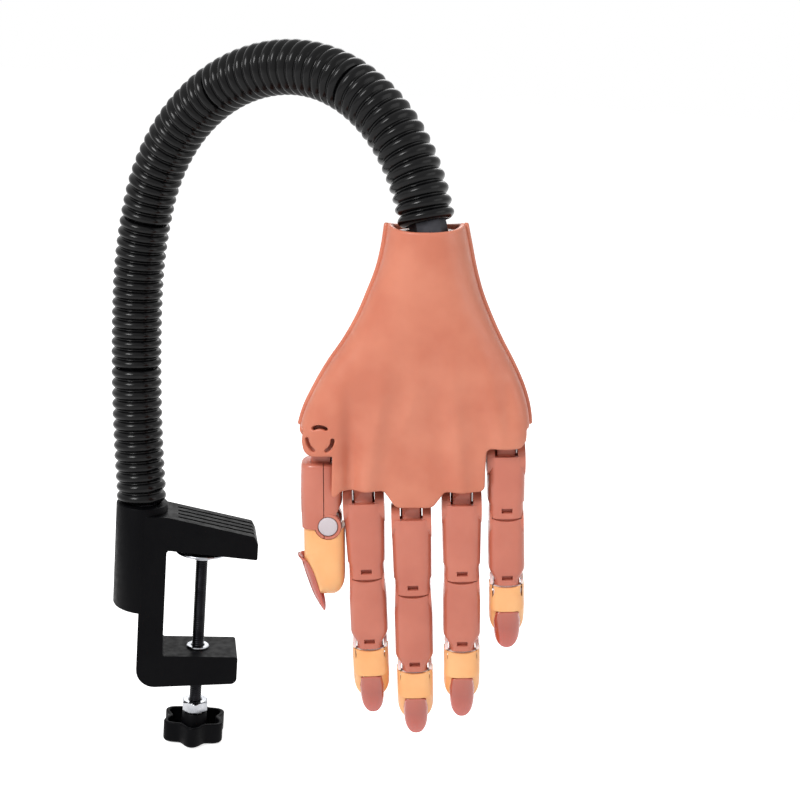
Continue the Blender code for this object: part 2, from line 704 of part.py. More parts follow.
def core_link(index, start, end, frame, frame_start, first, last):
    """One link of the core: a ball at its lower end on a neck, and a cup at its upper end."""
    low = start - LINK_ROOT_DEPTH if first else start
    high = end + LINK_PLUG_DEPTH if last else end + LINK_CUP_LIP
    if first:
        stations = np.linspace(low, high, LINK_STEPS + 1)
        radii = [LINK_RADIUS] * len(stations)
    else:
        body = np.linspace(low + LINK_NECK_LENGTH, high, LINK_STEPS + 1)
        neck_end = low + LINK_NECK_LENGTH - LINK_CUP_LIP / 2
        stations = np.concatenate([[low, neck_end], body])
        radii = [LINK_NECK_RADIUS, LINK_NECK_RADIUS] + [LINK_RADIUS] * len(body)
    link = hose_tube(f"link_body_{index}", stations, radii, frame, frame_start, 3)
    if not first:
        join(link, ball(f"link_ball_{index}", LINK_BALL_RADIUS, (0, 0, 0), frame))
    if not last:
        x0, z0, heading0 = route_at(frame_start)
        x, z, _ = route_at(end)
        dx, dz = x - x0, z - z0
        centre = (dx * math.cos(heading0) - dz * math.sin(heading0), 0.0,
                  dx * math.sin(heading0) + dz * math.cos(heading0))
        cut(link, ball(f"link_cup_{index}", LINK_BALL_RADIUS + LINK_CUP_GAP, centre, frame))
    as_piece(link, f"gooseneck_core_{index}", LINK_METAL)


def build_arm(base):
    """The arm's lengths of hose and core, each in the frame of the hinge at its lower end."""
    plane = empty("arm_plane", base, (COLUMN_X, 0, 0), Matrix.Rotation(-ARM_HEADING, 3, "Z"))
    bounds = [0.0] + [share * ARM_LENGTH for share in HINGE_SHARES] + [ARM_LENGTH]
    parent, parent_start = plane, None
    for index in range(1, len(bounds)):
        start, end = bounds[index - 1], bounds[index]
        x, z, heading = route_at(start)
        turn = Matrix.Rotation(heading, 3, "Y")
        frame = empty(f"gooseneck_hinge_{index - 1}", plane, (x, 0, z), turn)
        hose_section(index, start, end, frame, start)
        core_link(index, start, end, frame, start, index == 1, index == len(bounds) - 1)
    return plane


# Hand


def palm_section(down):
    """The palm's section at a distance down the hand, between the shares' rows.

    Returns thumb side, little finger side, back, front and squareness.
    """
    rows = np.array(PALM_SHARES)
    share = down / PALM_LENGTH
    values = [np.interp(share, rows[:, 0], rows[:, k]) for k in range(1, 6)]
    thumb_side, little_side, back, front, squareness = values
    return (thumb_side * PALM_WIDTH, little_side * PALM_WIDTH, back * PALM_DEPTH,
            front * PALM_DEPTH, squareness)


def palm_depth(across, down, front, inset=0.0):
    """Where the palm's outer face lies in Y, over a point, on its front or its back."""
    thumb_side, little_side, back, palm, squareness = palm_section(down)
    middle = (thumb_side + little_side) / 2
    half = (little_side - thumb_side) / 2 - inset
    reach = min(abs(across - middle) / half, 1.0)
    share = (1.0 - reach ** squareness) ** (1.0 / squareness)
    return (palm if front else back) * share


def tendon_rise(x, down):
    """Low ridges on the back, one toward each knuckle, that start part way down."""
    share = np.clip((down / PALM_LENGTH - TENDON_START_SHARE) / (1 - TENDON_START_SHARE), 0, 1)
    rise = np.zeros_like(x)
    for finger in FINGERS:
        line = finger.across * down / finger.down
        rise += TENDON_HEIGHT * share * np.exp(-(((x - line) / TENDON_WIDTH) ** 2))
    return rise


def palm_half(name, front, inset, frame):
    """Half of the palm as an open surface, from seam to seam, given its wall inward."""
    rows = [share[0] * PALM_LENGTH for share in PALM_SHARES]
    angle = np.linspace(0, math.pi, SHELL_COLUMNS + 1)
    bm = bmesh.new()
    grid = []
    for down in rows:
        thumb_side, little_side, back, palm, squareness = palm_section(down)
        middle = (thumb_side + little_side) / 2
        half = (little_side - thumb_side) / 2 - inset
        power = 2.0 / squareness
        x = middle + half * np.sign(np.cos(angle)) * np.abs(np.cos(angle)) ** power
        rise = np.abs(np.sin(angle)) ** power
        if front:
            y = (palm + SEAM_OVERLAP) * rise - SEAM_OVERLAP
        else:
            y = (back - SEAM_OVERLAP) * rise + SEAM_OVERLAP - tendon_rise(x, down) * rise
        dip = WRIST_RIM_DIP * rise if down == 0.0 else 0.0 * rise
        grid.append([bm.verts.new((a, b, -down - c)) for a, b, c in zip(x, y, dip)])
    for upper, lower in zip(grid[:-1], grid[1:]):
        for k in range(SHELL_COLUMNS):
            bm.faces.new((upper[k], upper[k + 1], lower[k + 1], lower[k]))
    mesh = bpy.data.meshes.new(name)
    if front:
        bmesh.ops.reverse_faces(bm, faces=bm.faces)
    bm.to_mesh(mesh)
    bm.free()
    obj = tool(name, mesh, frame)
    wall = obj.modifiers.new("wall", "SOLIDIFY")
    wall.thickness = SHELL_WALL
    wall.offset = -1.0
    wall.use_even_offset = True
    reach = PALM_WIDTH + PALM_LENGTH
    if front:
        cut(obj, block(f"{name}_seam", (-reach, -PALM_DEPTH, -reach), (reach, GAP / 2, reach), frame))
    else:
        cut(obj, block(f"{name}_seam", (-reach, -GAP / 2, -reach), (reach, PALM_DEPTH, reach), frame))
    return obj


def edge_outline(edges, lobe):
    """The space below a shell's lower edge, as an outline in X and Z.

    Each finger's edge is level over the finger and slopes to its neighbour's. The thumb side
    is a rounded lobe or, without one, a straight edge over the thumb.
    """
    low = -PALM_LENGTH - OVERRUN
    left = -PALM_WIDTH
    right = PALM_WIDTH
    points = [(left, low, 0.0)]
    index = FINGERS[0]
    web = index.across - index.knuckle_width / 2 - WEB_SPIKE_WIDTH
    if lobe:
        points += [
            (left, -LOBE_BOTTOM, 0.0),
            (-LOBE_INNER_EDGE, -LOBE_BOTTOM, LOBE_CORNER / 2),
            (-LOBE_INNER_EDGE - WEB_SPIKE_WIDTH / 4, -WEB_SPIKE_BOTTOM, WEB_SPIKE_WIDTH / 8),
            (web, -edges[0], WEB_SPIKE_WIDTH / 8),
        ]
    else:
        points += [(left, -THUMB_DOWN, 0.0), (web, -THUMB_DOWN, 0.0), (web, -edges[0], 0.0)]
    for finger, edge, after, after_edge in zip(FINGERS[:-1], edges[:-1], FINGERS[1:], edges[1:]):
        points.append((finger.across + finger.knuckle_width / 2, -edge, EDGE_CORNER))
        side = after.across - after.knuckle_width / 2
        points.append((side, -after_edge, EDGE_CORNER))
    points += [(right, -edges[-1], 0.0), (right, low, 0.0)]
    return rounded_outline(points)


def cap_slot(name, middle_angle, frame):
    """A curved slot through the thumb lobe, part of a ring round the thumb's pivot."""
    steps = ARC_STEPS * 2
    angles = [middle_angle + CAP_SLOT_SWEEP * (k / steps - 0.5) for k in range(steps + 1)]
    outer = [(math.cos(a), math.sin(a)) for a in angles]
    outline = [(c * (CAP_SLOT_RADIUS + CAP_SLOT_WIDTH / 2), s * (CAP_SLOT_RADIUS + CAP_SLOT_WIDTH / 2))
               for c, s in outer]
    outline += [(c * (CAP_SLOT_RADIUS - CAP_SLOT_WIDTH / 2), s * (CAP_SLOT_RADIUS - CAP_SLOT_WIDTH / 2))
                for c, s in reversed(outer)]
    return plate(name, outline, -PALM_DEPTH, -THUMB_EYE_HALF_HEIGHT, frame)


def side_opening(name, frame):
    """The open space between the shells, below their side walls, for thumb and little finger."""
    return block(name, (-PALM_WIDTH, -SIDE_OPENING_HALF, -PALM_LENGTH - OVERRUN),
                 (PALM_WIDTH, SIDE_OPENING_HALF, -SIDE_OPENING_TOP), frame)


def screw_places():
    """Where the two shell screws stand, across and up, in the hand."""
    return [(-SHELL_SCREW_ACROSS, -SHELL_SCREW_DOWN - k * SHELL_SCREW_SPACING) for k in range(2)]


def build_shells(hand, thumb_frame):
    """Back and palm shells, the pivot posts on the palm shell, and the screws between them."""
    back = palm_half("back_skin", False, SHELL_STEP, hand)
    cut(back, plate("back_edge", edge_outline([f.edge_down for f in FINGERS], True),
                    -PALM_DEPTH, GAP, hand))
    cut(back, side_opening("back_side_opening", hand))
    for k in range(CAP_SLOT_COUNT):
        angle = math.pi / 2 + k * 2 * math.pi / CAP_SLOT_COUNT
        cut(back, cap_slot(f"cap_slot_{k + 1}", angle, thumb_frame))
    palm = palm_half("palm_skin", True, 0.0, hand)
    cut(palm, plate("palm_edge", edge_outline([f.palm_edge_down for f in FINGERS], False),
                    -GAP, PALM_DEPTH, hand))
    cut(palm, side_opening("palm_side_opening", hand))
    wall_middle = SHELL_WALL / 2
    for finger in FINGERS:
        up = -finger.down + POST_RISE
        across = finger.across - POST_RISE * math.sin(finger.lean)
        reach = palm_depth(across, -up, True) - wall_middle
        join(palm, rod(f"{finger.name}_post", POST_RADIUS, (across, -POST_BACK_END, up),
                       (across, reach, up), hand))
    thumb_reach = palm_depth(THUMB_ACROSS, THUMB_DOWN, True) - wall_middle
    join(palm, rod("thumb_post", THUMB_POST_RADIUS, (THUMB_ACROSS, -POST_BACK_END, -THUMB_DOWN),
                   (THUMB_ACROSS, thumb_reach, -THUMB_DOWN), hand))
    for k, (x, z) in enumerate(screw_places()):
        front = palm_depth(x, -z, True)
        rear = palm_depth(x, -z, False, SHELL_STEP)
        seat = front - SHELL_SCREW_HEAD_HEIGHT
        join(back, rod(f"back_boss_{k + 1}", SHELL_BOSS_RADIUS, (x, rear + wall_middle, z),
                       (x, SHELL_BOSS_END, z), hand))
        cut(back, rod(f"pilot_hole_{k + 1}", SHELL_SCREW_RADIUS + GAP, (x, -SHELL_SCREW_REACH - GAP, z),
                      (x, OVERRUN, z), hand))
        join(palm, rod(f"palm_boss_{k + 1}", SHELL_BOSS_RADIUS, (x, SHELL_BOSS_END + GAP, z),
                       (x, front - wall_middle, z), hand))
        cut(palm, rod(f"screw_hole_{k + 1}", SHELL_SCREW_RADIUS + GAP, (x, -OVERRUN, z),
                      (x, front + OVERRUN, z), hand))
        cut(palm, rod(f"head_hole_{k + 1}", SHELL_SCREW_HEAD_RADIUS + GAP, (x, seat - GAP, z),
                      (x, front + OVERRUN, z), hand))
        screw = rod(f"screw_shank_{k + 1}", SHELL_SCREW_RADIUS, (x, -SHELL_SCREW_REACH, z),
                    (x, seat + GAP, z), hand)
        join(screw, rod(f"screw_head_{k + 1}", SHELL_SCREW_HEAD_RADIUS, (x, seat, z),
                        (x, front, z), hand))
        as_piece(screw, f"shell_screw_{k + 1}", PIN_STEEL)
    as_piece(back, "back_shell", SHELL_PLASTIC)
    as_piece(palm, "palm_shell", SHELL_PLASTIC)


def build_plug(hand, wrist_axis):
    """The plug that fills the wrist, with its top square to the arm and a bore for the core."""
    rings = []
    for down in np.linspace(PLUG_TOP, PLUG_TOP + PLUG_LENGTH, 4):
        thumb_side, little_side, back, front, squareness = palm_section(down)
        inset = SHELL_WALL + SHELL_STEP + PLUG_INSET
        x, y = oval((little_side - thumb_side) / 2 - inset, -back - SHELL_WALL - PLUG_INSET,
                    front - SHELL_WALL - PLUG_INSET, squareness)
        rings.append(np.stack([x + (thumb_side + little_side) / 2, y, np.full_like(x, -down)], axis=1))
    plug = loft("plug_body", rings, hand)
    cut(plug, block("plug_top", (-PALM_DEPTH, -PALM_DEPTH, -PALM_DEPTH), (PALM_DEPTH, PALM_DEPTH, GAP),
                    wrist_axis))
    cut(plug, rod("plug_bore", LINK_RADIUS + GAP, (0, 0, -OVERRUN), (0, 0, LINK_PLUG_DEPTH + GAP),
                  wrist_axis))
    as_piece(plug, "wrist_plug", PALE_PLASTIC)


# Fingers


def relief(name, frame, angle, upper):
    """A block whose face runs from a hinge's axis toward the palm, tilted up by an angle.

    It clears the space below that face on an upper piece, and above it on a lower one.
    """
    reach = PALM_DEPTH
    low, high = (-reach, -GAP) if upper else (GAP, reach)
    return block(name, (-reach, 0.0, low), (reach, reach, high), frame, Matrix.Rotation(angle, 3, "X"))


def add_tongue(piece, name, hinge, width, tongue_radius, ear_radius, pin_radius):
    """Shapes a piece's lower end: room for the ears, a relief to the palm, tongue and bore."""
    half = width / 2
    outside = half + ear_radius
    for side, sign in (("left", -1), ("right", 1)):
        cut(piece, rod(f"{name}_ear_room_{side}", ear_radius + GAP, (sign * half, 0, 0),
                       (sign * outside, 0, 0), hinge, FINE_SIDES))
    cut(piece, relief(f"{name}_upper_relief", hinge, UPPER_RELIEF_ANGLE, True))
    join(piece, cross_rod(f"{name}_tongue", tongue_radius, half - FIT_STEP, hinge, sides=FINE_SIDES))
    cut(piece, cross_rod(f"{name}_tongue_bore", pin_radius + GAP, outside, hinge, sides=BORE_SIDES))


def add_fork(piece, name, hinge, fork_width, slot_width, tongue_radius, ear_radius, pin_radius,
             relieved=True):
    """Shapes a piece's upper end: ears about the hinge, the slot between them, and the bore."""
    half = slot_width / 2
    far = ear_radius + OVERRUN
    room = tongue_radius + GAP
    if relieved:
        cut(piece, relief(f"{name}_lower_relief", hinge, -LOWER_RELIEF_ANGLE, False))
    join(piece, cross_rod(f"{name}_ears", ear_radius, fork_width / 2 - FIT_STEP, hinge,
                          sides=FINE_SIDES))
    slot = plate(f"{name}_slot", slot_outline(room, far), -half, half, empty(
        f"{name}_slot_side", hinge, turn=Matrix.Rotation(math.pi / 2, 3, "Z")))
    cut(piece, slot, cross_rod(f"{name}_fork_bore", pin_radius + GAP, fork_width, hinge,
                               sides=BORE_SIDES))


def slot_outline(room, far):
    """A fork's slot in side view: round below the axis, open to the palm and above the lip.

    Its first coordinate runs toward the palm and its second upward.
    """
    steps = FINE_SIDES // 2
    points = [(far, far), (-far, far), (-far, HINGE_LIP - FIT_STEP)]
    start = math.asin((HINGE_LIP - FIT_STEP) / room)
    sweep = math.pi + start - LOWER_RELIEF_ANGLE
    for k in range(steps + 1):
        angle = math.pi - start + sweep * k / steps
        points.append((room * math.cos(angle), room * math.sin(angle)))
    points.append((far, -far * math.tan(LOWER_RELIEF_ANGLE)))
    return points


def window(name, hinge, half_depth):
    """A small window in the back of a piece, just above the hinge below it."""
    low = HINGE_LIP + GAP + WINDOW_RISE
    return block(name, (-WINDOW_WIDTH / 2, -half_depth - OVERRUN, low),
                 (WINDOW_WIDTH / 2, -half_depth + WINDOW_DEPTH, low + WINDOW_HEIGHT), hinge)


def build_knuckle(finger, hand):
    """The block between the shells: an eye on its post, a neck, a tongue and two trunnions."""
    post = empty(f"{finger.name}_spread_axis", hand,
                 (finger.across - POST_RISE * math.sin(finger.lean), 0, -finger.down + POST_RISE))
    hinge = empty(f"{finger.name}_knuckle_axis", post,
                  (POST_RISE * math.sin(finger.lean), 0, -POST_RISE),
                  Matrix.Rotation(-finger.lean, 3, "Y"))
    half = KNUCKLE_TONGUE_WIDTH / 2
    name = f"{finger.name}_knuckle"
    body = rod(f"{name}_eye", EYE_RADIUS, (0, -EYE_HALF_HEIGHT, 0), (0, EYE_HALF_HEIGHT, 0), post)
    neck_half = half - FIT_STEP
    join(body, block(f"{name}_neck", (-neck_half, -NECK_HALF_DEPTH, 0),
                     (neck_half, NECK_HALF_DEPTH, POST_RISE), hinge))
    join(body, cross_rod(f"{name}_tongue", KNUCKLE_TONGUE_RADIUS, half, hinge, sides=FINE_SIDES))
    join(body, cross_rod(f"{name}_trunnions", TRUNNION_RADIUS, finger.knuckle_width / 2 - GAP, hinge))
    cut(body, rod(f"{name}_eye_bore", POST_RADIUS + GAP, (0, -EYE_HALF_HEIGHT - OVERRUN, 0),
                  (0, EYE_HALF_HEIGHT + OVERRUN, 0), post))
    as_piece(body, name, FINGER_PLASTIC)
    return hinge


def build_segments(finger, knuckle):
    """The upper and middle lengths of a finger, their pins, and the end hinge's frame."""
    middle_hinge = empty(f"{finger.name}_middle_axis", knuckle, (0, 0, -finger.upper_length))
    end_hinge = empty(f"{finger.name}_end_axis", middle_hinge, (0, 0, -finger.middle_length))
    depth = finger.half_depth
    bottom = -finger.upper_length + HINGE_LIP + GAP
    step = -finger.upper_length + STEP_RISE
    upper = loft(f"{finger.name}_upper_body", oval_rings((
        (HINGE_LIP, finger.knuckle_width / 2, depth, depth),
        (step, finger.upper_width / 2, depth, depth),
        (step - STEP_HEIGHT, finger.ear_width / 2, depth, depth),
        (bottom, finger.ear_width / 2, depth, depth)), FINGER_SQUARENESS), knuckle)
    name = f"{finger.name}_proximal"
    add_fork(upper, name, knuckle, finger.knuckle_width, KNUCKLE_SLOT_WIDTH, KNUCKLE_TONGUE_RADIUS,
             KNUCKLE_EAR_RADIUS, TRUNNION_RADIUS)
    add_tongue(upper, name, middle_hinge, MIDDLE_TONGUE_WIDTH, MIDDLE_TONGUE_RADIUS,
               MIDDLE_EAR_RADIUS, PIN_RADIUS)
    cut(upper, window(f"{name}_window", middle_hinge, depth))
    as_piece(upper, name, FINGER_PLASTIC)

    block_top = -finger.middle_length + SHOULDER_RISE
    block_end = -finger.middle_length + END_BLOCK_RISE
    bottom = -finger.middle_length + HINGE_LIP + GAP
    middle = loft(f"{finger.name}_middle_body", oval_rings((
        (HINGE_LIP, finger.ear_width / 2, depth, depth),
        (-MIDDLE_EAR_RADIUS, finger.middle_width / 2, depth, depth),
        (block_top, finger.middle_width / 2, depth, depth),
        (block_end, END_TONGUE_WIDTH / 2 - GAP, depth - STEP_HEIGHT / 2, depth - STEP_HEIGHT),
        (bottom, END_TONGUE_WIDTH / 2 - GAP, depth - STEP_HEIGHT / 2, depth - STEP_HEIGHT)),
        FINGER_SQUARENESS), middle_hinge)
    name = f"{finger.name}_middle"
    add_fork(middle, name, middle_hinge, finger.ear_width, MIDDLE_TONGUE_WIDTH + 2 * GAP,
             MIDDLE_TONGUE_RADIUS, MIDDLE_EAR_RADIUS, PIN_RADIUS)
    add_tongue(middle, name, end_hinge, END_TONGUE_WIDTH, END_TONGUE_RADIUS, END_EAR_RADIUS, PIN_RADIUS)
    cut(middle, window(f"{name}_window", end_hinge, depth))
    as_piece(middle, name, FINGER_PLASTIC)

    as_piece(cross_rod(f"{finger.name}_middle_pin_body", PIN_RADIUS, finger.ear_width / 2 - GAP,
                       middle_hinge), f"{finger.name}_middle_pin", PIN_STEEL)
    end_half = TIPS[finger.name].half_width - GAP
    as_piece(cross_rod(f"{finger.name}_end_pin_body", PIN_RADIUS, end_half - GAP, end_hinge),
             f"{finger.name}_end_pin", PIN_STEEL)
    return end_hinge


def build_finger_core(tip, hinge):
    """The pale core of a fingertip: a fork on the end hinge, and a stem into the cover."""
    half = tip.half_width - GAP
    name = f"{tip.name}_tip_core"
    stem_end = -STEM_START - STEM_LENGTH
    core = block(f"{name}_stem", (-STEM_HALF_WIDTH, -STEM_HALF_DEPTH, stem_end),
                 (STEM_HALF_WIDTH, STEM_HALF_DEPTH, -STEM_START), hinge)
    add_fork(core, name, hinge, 2 * half, END_TONGUE_WIDTH + 2 * GAP, END_TONGUE_RADIUS,
             END_EAR_RADIUS, PIN_RADIUS, relieved=False)
    as_piece(core, name, PALE_PLASTIC)


def crown_drop(x, half_width):
    """How far a nail's seat falls away from its crown, a share of an ellipse across it."""
    share = np.clip(np.abs(x) / half_width, 0.0, 1.0)
    return NAIL_CROWN * (1.0 - np.sqrt(1.0 - share ** 2))


def build_cover(tip, hinge, room_radius):
    """A fingertip's cover: rounded at its end, sloped for the nail, hollow for the core."""
    half, back, front, length = tip.half_width, tip.back, tip.front, tip.length
    end = -length
    rings = oval_rings((
        (tip.top, half, back, front),
        (end + half, half, back, front),
        (end + half / 2, half * 0.95, back, front * 0.92),
        (end + half / 6, half * 0.78, back * 0.8, front * 0.70),
        (end, half * 0.56, back * 0.55, front * 0.45)), TIP_SQUARENESS)
    cover = loft(f"{tip.name}_cover_body", rings, hinge)
    name = f"{tip.name}_tip_cover"
    cut(cover, cross_rod(f"{name}_hinge_room", room_radius + GAP, half + OVERRUN, hinge, sides=FINE_SIDES))
    if tip.top > 0:
        cut(cover, relief(f"{name}_relief", hinge, -LOWER_RELIEF_ANGLE, False))
    stem_end = -STEM_START - STEM_LENGTH
    cut(cover, block(f"{name}_stem_room", (-STEM_HALF_WIDTH - GAP, -STEM_HALF_DEPTH - GAP, stem_end - GAP),
                     (STEM_HALF_WIDTH + GAP, STEM_HALF_DEPTH + GAP, 0.0), hinge))
    seat = empty(f"{tip.name}_nail_seat", hinge, (0, -back + NAIL_THICKNESS - tip.nail_lift, -tip.nail_root),
                 Matrix.Rotation(NAIL_SLOPE, 3, "X"))
    across = np.linspace(-half - OVERRUN, half + OVERRUN, 2 * NAIL_COLUMNS + 1)
    edge = np.stack([across, crown_drop(across, half)], axis=1)
    outline = np.vstack([edge, [(half + OVERRUN, -back), (-half - OVERRUN, -back)]])
    cut(cover, loft(f"{name}_nail_seat", [np.column_stack([outline, np.full(len(outline), height)])
                                          for height in (-length, 0.0)], seat))
    cut(cover, block(f"{name}_post_hole",
                     (-NAIL_POST_HALF - GAP, -OVERRUN, -NAIL_POST_DOWN - NAIL_POST_HALF - GAP),
                     (NAIL_POST_HALF + GAP, NAIL_POST_LENGTH + GAP, -NAIL_POST_DOWN + NAIL_POST_HALF + GAP),
                     seat))
    as_piece(cover, name, TIP_PLASTIC)
    return seat


def build_nail(tip, seat):
    """A nail: an arched shell that narrows to a rounded free edge, with a post under it."""
    rings = []
    for share in 1 - np.linspace(1, 0, NAIL_STATIONS) ** NAIL_SPACING:
        along = NAIL_ROOT_LAND + share * tip.nail_length
        end_round = (1 - share ** NAIL_END_SQUARENESS) ** (1 / NAIL_END_SQUARENESS)
        root_round = NAIL_ROOT_WIDTH_SHARE + (1 - NAIL_ROOT_WIDTH_SHARE) * min(share * 4, 1)
        width = max(end_round, NAIL_END_WIDTH_SHARE) * root_round * tip.nail_half_width
        x = np.linspace(-width, width, NAIL_COLUMNS + 1)
        drop = crown_drop(x, tip.half_width)
        outer = np.stack([x, drop - GAP - NAIL_THICKNESS * (1 - share / 3)], axis=1)
        inner = np.stack([x, drop - GAP], axis=1)[::-1]
        ring = np.vstack([outer, inner])
        rings.append(np.column_stack([ring, np.full(len(ring), -along)]))
    name = f"{tip.name}_nail"
    nail = loft(f"{name}_plate", rings, seat)
    join(nail, block(f"{name}_post", (-NAIL_POST_HALF, -GAP - NAIL_THICKNESS / 2, -NAIL_POST_DOWN - NAIL_POST_HALF),
                     (NAIL_POST_HALF, NAIL_POST_LENGTH, -NAIL_POST_DOWN + NAIL_POST_HALF), seat))
    as_piece(nail, name, NAIL_PLASTIC)


def build_finger(finger, hand):
    """One finger, from the knuckle block to the nail."""
    knuckle = build_knuckle(finger, hand)
    end_hinge = build_segments(finger, knuckle)
    tip = TIPS[finger.name]
    build_finger_core(tip, end_hinge)
    seat = build_cover(tip, end_hinge, END_EAR_RADIUS)
    build_nail(tip, seat)


# Thumb


def build_thumb(swing):
    """The thumb: a swivel in the palm, two halves round its neck, a pin, and the tip."""
    tip_frame = empty("thumb_end_axis", swing, (THUMB_PIN_ACROSS, 0, -THUMB_PIN_DOWN),
                      Matrix.Rotation(-math.pi / 2, 3, "Z"))
    eye = rod("thumb_eye", THUMB_EYE_RADIUS, (0, -THUMB_EYE_HALF_HEIGHT, 0),
              (0, THUMB_EYE_HALF_HEIGHT, 0), swing)
    neck_low = -THUMB_NECK_LENGTH
    join(eye, block("thumb_neck", (-THUMB_NECK_HALF_WIDTH, -THUMB_NECK_HALF_DEPTH, neck_low),
                    (THUMB_NECK_HALF_WIDTH, THUMB_NECK_HALF_DEPTH, 0), swing))
    cut(eye, rod("thumb_eye_bore", THUMB_POST_RADIUS + GAP, (0, -THUMB_EYE_HALF_HEIGHT - OVERRUN, 0),
                 (0, THUMB_EYE_HALF_HEIGHT + OVERRUN, 0), swing))
    as_piece(eye, "thumb_swivel", FINGER_PLASTIC)
    bottom = -THUMB_PIN_DOWN - THUMB_CHEEK_DROP
    far = THUMB_HALF_WIDTH + OVERRUN
    for name, low, high in (("thumb_back_half", -far, THUMB_SEAM - GAP / 2),
                            ("thumb_front_half", THUMB_SEAM + GAP / 2, far)):
        half = loft(f"{name}_body", oval_rings((
            (-THUMB_TOP, THUMB_HALF_WIDTH, THUMB_HALF_DEPTH, THUMB_HALF_DEPTH),
            (bottom, THUMB_HALF_WIDTH, THUMB_HALF_DEPTH, THUMB_HALF_DEPTH)), THUMB_SQUARENESS), swing)
        cut(half, relief(f"{name}_relief", tip_frame, THUMB_FLEX_RELIEF, True))
        join(half, cross_rod(f"{name}_ear", THUMB_EAR_RADIUS, THUMB_HALF_DEPTH, tip_frame,
                             sides=FINE_SIDES))
        cut(half, block(f"{name}_slot", (-THUMB_SLOT_HALF, -far * 2, -far),
                        (THUMB_SLOT_HALF, far * 2, THUMB_TONGUE_RADIUS + GAP), tip_frame))
        cut(half, block(f"{name}_neck_room",
                        (-THUMB_NECK_HALF_WIDTH - GAP, -THUMB_NECK_HALF_DEPTH - GAP, neck_low - GAP),
                        (THUMB_NECK_HALF_WIDTH + GAP, THUMB_NECK_HALF_DEPTH + GAP, 0), swing))
        cut(half, cross_rod(f"{name}_pin_bore", THUMB_PIN_RADIUS + GAP, far, tip_frame))
        cut(half, rod(f"{name}_head_room", THUMB_PIN_HEAD_RADIUS + GAP,
                      (THUMB_HALF_DEPTH - THUMB_PIN_HEAD_HEIGHT, 0, 0), (far, 0, 0), tip_frame,
                      FINE_SIDES))
        outside = far * 4
        if high == far:
            cut(half, block(f"{name}_seam", (-outside, -outside, -outside), (low, outside, 0), swing))
        else:
            cut(half, block(f"{name}_seam", (high, -outside, -outside), (outside, outside, 0), swing))
        as_piece(half, name, FINGER_PLASTIC)
    pin = cross_rod("thumb_pin_shank", THUMB_PIN_RADIUS, THUMB_HALF_DEPTH - GAP, tip_frame)
    head_low = THUMB_HALF_DEPTH - THUMB_PIN_HEAD_HEIGHT + GAP
    join(pin, rod("thumb_pin_head", THUMB_PIN_HEAD_RADIUS, (head_low, 0, 0),
                  (THUMB_HALF_DEPTH + GAP, 0, 0), tip_frame, FINE_SIDES))
    as_piece(pin, "thumb_pin", PALE_PLASTIC)

    tip = TIPS["thumb"]
    stem_end = -STEM_START - STEM_LENGTH
    core = block("thumb_core_stem", (-STEM_HALF_WIDTH, -STEM_HALF_DEPTH, stem_end),
                 (STEM_HALF_WIDTH, STEM_HALF_DEPTH, 0), tip_frame)
    join(core, cross_rod("thumb_core_tongue", THUMB_TONGUE_RADIUS, THUMB_SLOT_HALF - GAP, tip_frame,
                         sides=FINE_SIDES))
    cut(core, cross_rod("thumb_core_bore", THUMB_PIN_RADIUS + GAP, THUMB_HALF_DEPTH, tip_frame))
    as_piece(core, "thumb_tip_core", PALE_PLASTIC)
    seat = build_cover(tip, tip_frame, THUMB_EAR_RADIUS)
    build_nail(tip, seat)


def build():
    """Builds every piece, from the clamp to the nails."""
    base = empty("clamp_base")
    build_clamp(base)
    plane = build_arm(base)
    x, z, heading = route_at(ARM_LENGTH)
    wrist = plane_point(x, z)
    lean = Matrix.Rotation(-HAND_HEADING, 3, "Z") @ Matrix.Rotation(HAND_LEAN, 3, "Y")
    hand = empty("hand", base, wrist, lean)
    axis_turn = Matrix.Rotation(-ARM_HEADING, 3, "Z") @ Matrix.Rotation(heading, 3, "Y")
    wrist_axis = empty("wrist_twist_axis", base, wrist, axis_turn)
    build_plug(hand, wrist_axis)
    swing = empty("thumb_swing_axis", hand, (THUMB_ACROSS, 0, -THUMB_DOWN))
    build_shells(hand, swing)
    for finger in FINGERS:
        build_finger(finger, hand)
    build_thumb(swing)


def plane_point(x, z):
    """A point of the arm's upright plane, in the clamp's frame."""
    return (COLUMN_X + x * math.cos(ARM_HEADING), -x * math.sin(ARM_HEADING), z)


build()
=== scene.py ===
"""Dressed scene of the nail practice hand.

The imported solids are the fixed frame. Every piece made here is a surface worked out as whole
numpy arrays in the frame of the hinge that carries it, and it rides on that hinge's body.
Lengths are metres and angles radians.
"""

from __future__ import annotations

import json
import logging
import math
from dataclasses import dataclass
from enum import Enum

import bmesh
import bpy
import numpy as np
from mathutils import Matrix, Vector
from mathutils.geometry import delaunay_2d_cdt

